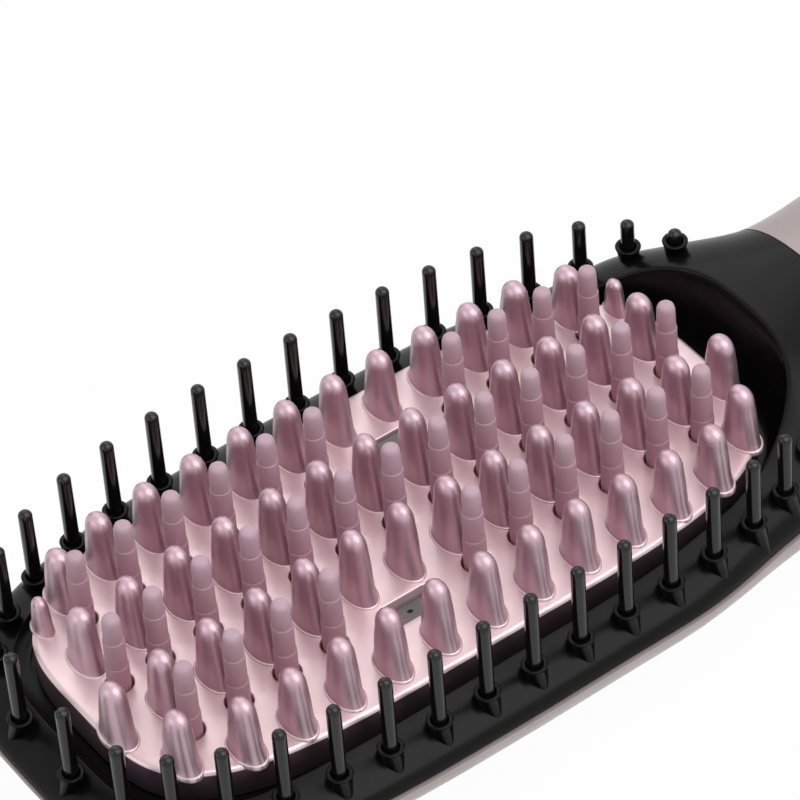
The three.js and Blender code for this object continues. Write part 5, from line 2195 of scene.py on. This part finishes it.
@dataclass(frozen=True)
class PhotoCamera:
    """Camera at the photograph's viewing angle, fitted to the rows of teeth and pins."""

    place: tuple[float, float, float] = (-275.075, -429.308, 557.407)
    turn: tuple[float, float, float] = (2.2419, -0.7623, 0.2384)
    focal: float = 238.3
    sensor: float = 36.0

    def rows(self) -> Points:
        """Rows of the matrix that turns the brush's axes into the camera's."""
        vector = np.array(self.turn)
        angle = float(np.linalg.norm(vector))
        x, y, z = vector / angle
        cross = np.array([[0, -z, y], [z, 0, -x], [-y, x, 0]])
        return np.eye(3) + math.sin(angle) * cross + (1 - math.cos(angle)) * cross @ cross

    def build(self) -> None:
        """Put the camera in the scene."""
        data = bpy.data.cameras.new("photo camera")
        data.lens = self.focal
        data.sensor_width = self.sensor
        data.sensor_fit = "HORIZONTAL"
        data.clip_end = 20.0
        camera = bpy.data.objects.new("photo camera", data)
        bpy.context.scene.collection.objects.link(camera)
        right, down, ahead = self.rows()
        matrix = Matrix([[right[i], -down[i], -ahead[i]] for i in range(3)]).to_4x4()
        matrix.translation = Vector(self.place) * MM
        camera.matrix_world = matrix
        bpy.context.scene.camera = camera


@dataclass(frozen=True)
class SoftLamp:
    """A large square lamp that points at the head of the brush."""

    name: str
    place: tuple[float, float, float]
    size: float
    power: float
    colour: tuple[float, float, float] = (1.0, 1.0, 1.0)
    target: tuple[float, float, float] = (0.0, 0.0, 0.02)

    def build(self) -> None:
        """Put the lamp in the scene."""
        data = bpy.data.lights.new(self.name, "AREA")
        data.shape = "SQUARE"
        data.size = self.size
        data.energy = self.power
        data.color = self.colour
        lamp = bpy.data.objects.new(self.name, data)
        lamp.location = self.place
        aim = Vector(self.target) - Vector(self.place)
        lamp.rotation_euler = aim.to_track_quat("-Z", "Y").to_euler()
        bpy.context.scene.collection.objects.link(lamp)


@dataclass(frozen=True)
class Studio:
    """White table, white surroundings and soft lamps."""

    surroundings: float = 0.3
    lamps: tuple[SoftLamp, ...] = (
        SoftLamp("overhead lamp", (0.22, -0.4, 0.9), 1.0, 6.2),
        SoftLamp("left lamp", (-0.9, 0.25, 0.45), 0.5, 1.0, (0.9, 0.93, 1.0)),
        SoftLamp("far lamp", (0.3, 0.72, 0.82), 0.7, 1.4),
    )
    floor_half: float = 3.0
    floor_low: float = 0.02
    floor_white: float = 0.97

    def seen(self, nodes: Nodes) -> bpy.types.NodeSocket:
        """1 for rays that show the background: camera, glossy and transmission."""
        rays = nodes.add("ShaderNodeLightPath").outputs
        first = nodes.math("MAXIMUM", rays["Is Camera Ray"], rays["Is Glossy Ray"])
        return nodes.math("MAXIMUM", first, rays["Is Transmission Ray"])

    def world(self) -> None:
        """White background that lights the object softly."""
        world = bpy.data.worlds.new("white studio")
        bpy.context.scene.world = world
        world.use_nodes = True
        nodes = Nodes(world.node_tree)
        strength = nodes.add("ShaderNodeMapRange", {
            "Value": self.seen(nodes), "To Min": self.surroundings, "To Max": 1.0,
        })
        back = nodes.add("ShaderNodeBackground", {
            "Color": (1.0, 1.0, 1.0, 1.0), "Strength": strength.outputs["Result"],
        })
        nodes.add("ShaderNodeOutputWorld", {"Surface": back.outputs["Background"]})

    def floor(self) -> None:
        """Pale table top that keeps the brush's soft shadow."""
        corners = raised(np.array(CORNERS) * self.floor_half / MM, -self.floor_low)
        table = Shapes.piece("table_top", corners, [(0, 1, 2, 3)])
        material = bpy.data.materials.new("white table")
        material.use_nodes = True
        nodes = Nodes(material.node_tree)
        plain = nodes.add("ShaderNodeBsdfDiffuse", {"Color": (0.85, 0.85, 0.85, 1.0)})
        glow = nodes.add("ShaderNodeEmission", {"Strength": 1.0})
        both = nodes.add("ShaderNodeMixShader", {
            0: nodes.math("MULTIPLY", self.seen(nodes), self.floor_white),
            1: plain.outputs["BSDF"], 2: glow.outputs["Emission"],
        })
        nodes.add("ShaderNodeOutputMaterial", {"Surface": both.outputs["Shader"]})
        table.data.materials.append(material)

    def build(self) -> None:
        """Make the whole studio."""
        self.world()
        self.floor()
        for lamp in self.lamps:
            lamp.build()
        bpy.context.scene.view_settings.view_transform = "Standard"


def main() -> None:
    """Build the brush and its studio."""
    logging.basicConfig(level=logging.INFO, format="%(name)s: %(message)s")
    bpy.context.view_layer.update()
    PhotoCamera().build()
    Studio().build()
    scatter, rods = Scatter(), RodRow()
    ToothPlate().build(scatter)
    for strip in BRISTLE_STRIPS:
        strip.build(scatter, rods)
    IonOutlet(name="near", side=-1, place=(-8.0, -13.4)).build()
    IonOutlet(name="far", side=1, place=(8.0, 13.4)).build()
    pins = GuardPins()
    pins.build(rods)
    HeadFrame().build(scatter, pins)
    buttons = [
        ControlButton(name="power", symbol=Symbol.POWER, x=134.0, along=5.2, across=5.2),
        ControlButton(name="plus", symbol=Symbol.PLUS, x=149.0, along=4.2, across=5.0),
        ControlButton(name="minus", symbol=Symbol.MINUS, x=162.0, along=4.2, across=5.0),
    ]
    shells = Shells()
    shells.back_cover()
    shells.handle_cover(buttons)
    DisplayWindow().build()
    for button in buttons:
        button.body = f"{button.name}_key"
        button.build()
    tail = Tail()
    tail.cap(shells)
    tail.gland()
    CaseScrews().build(scatter, rods, shells)
    InnerWorks().build()


if __name__ == "__main__":
    main()
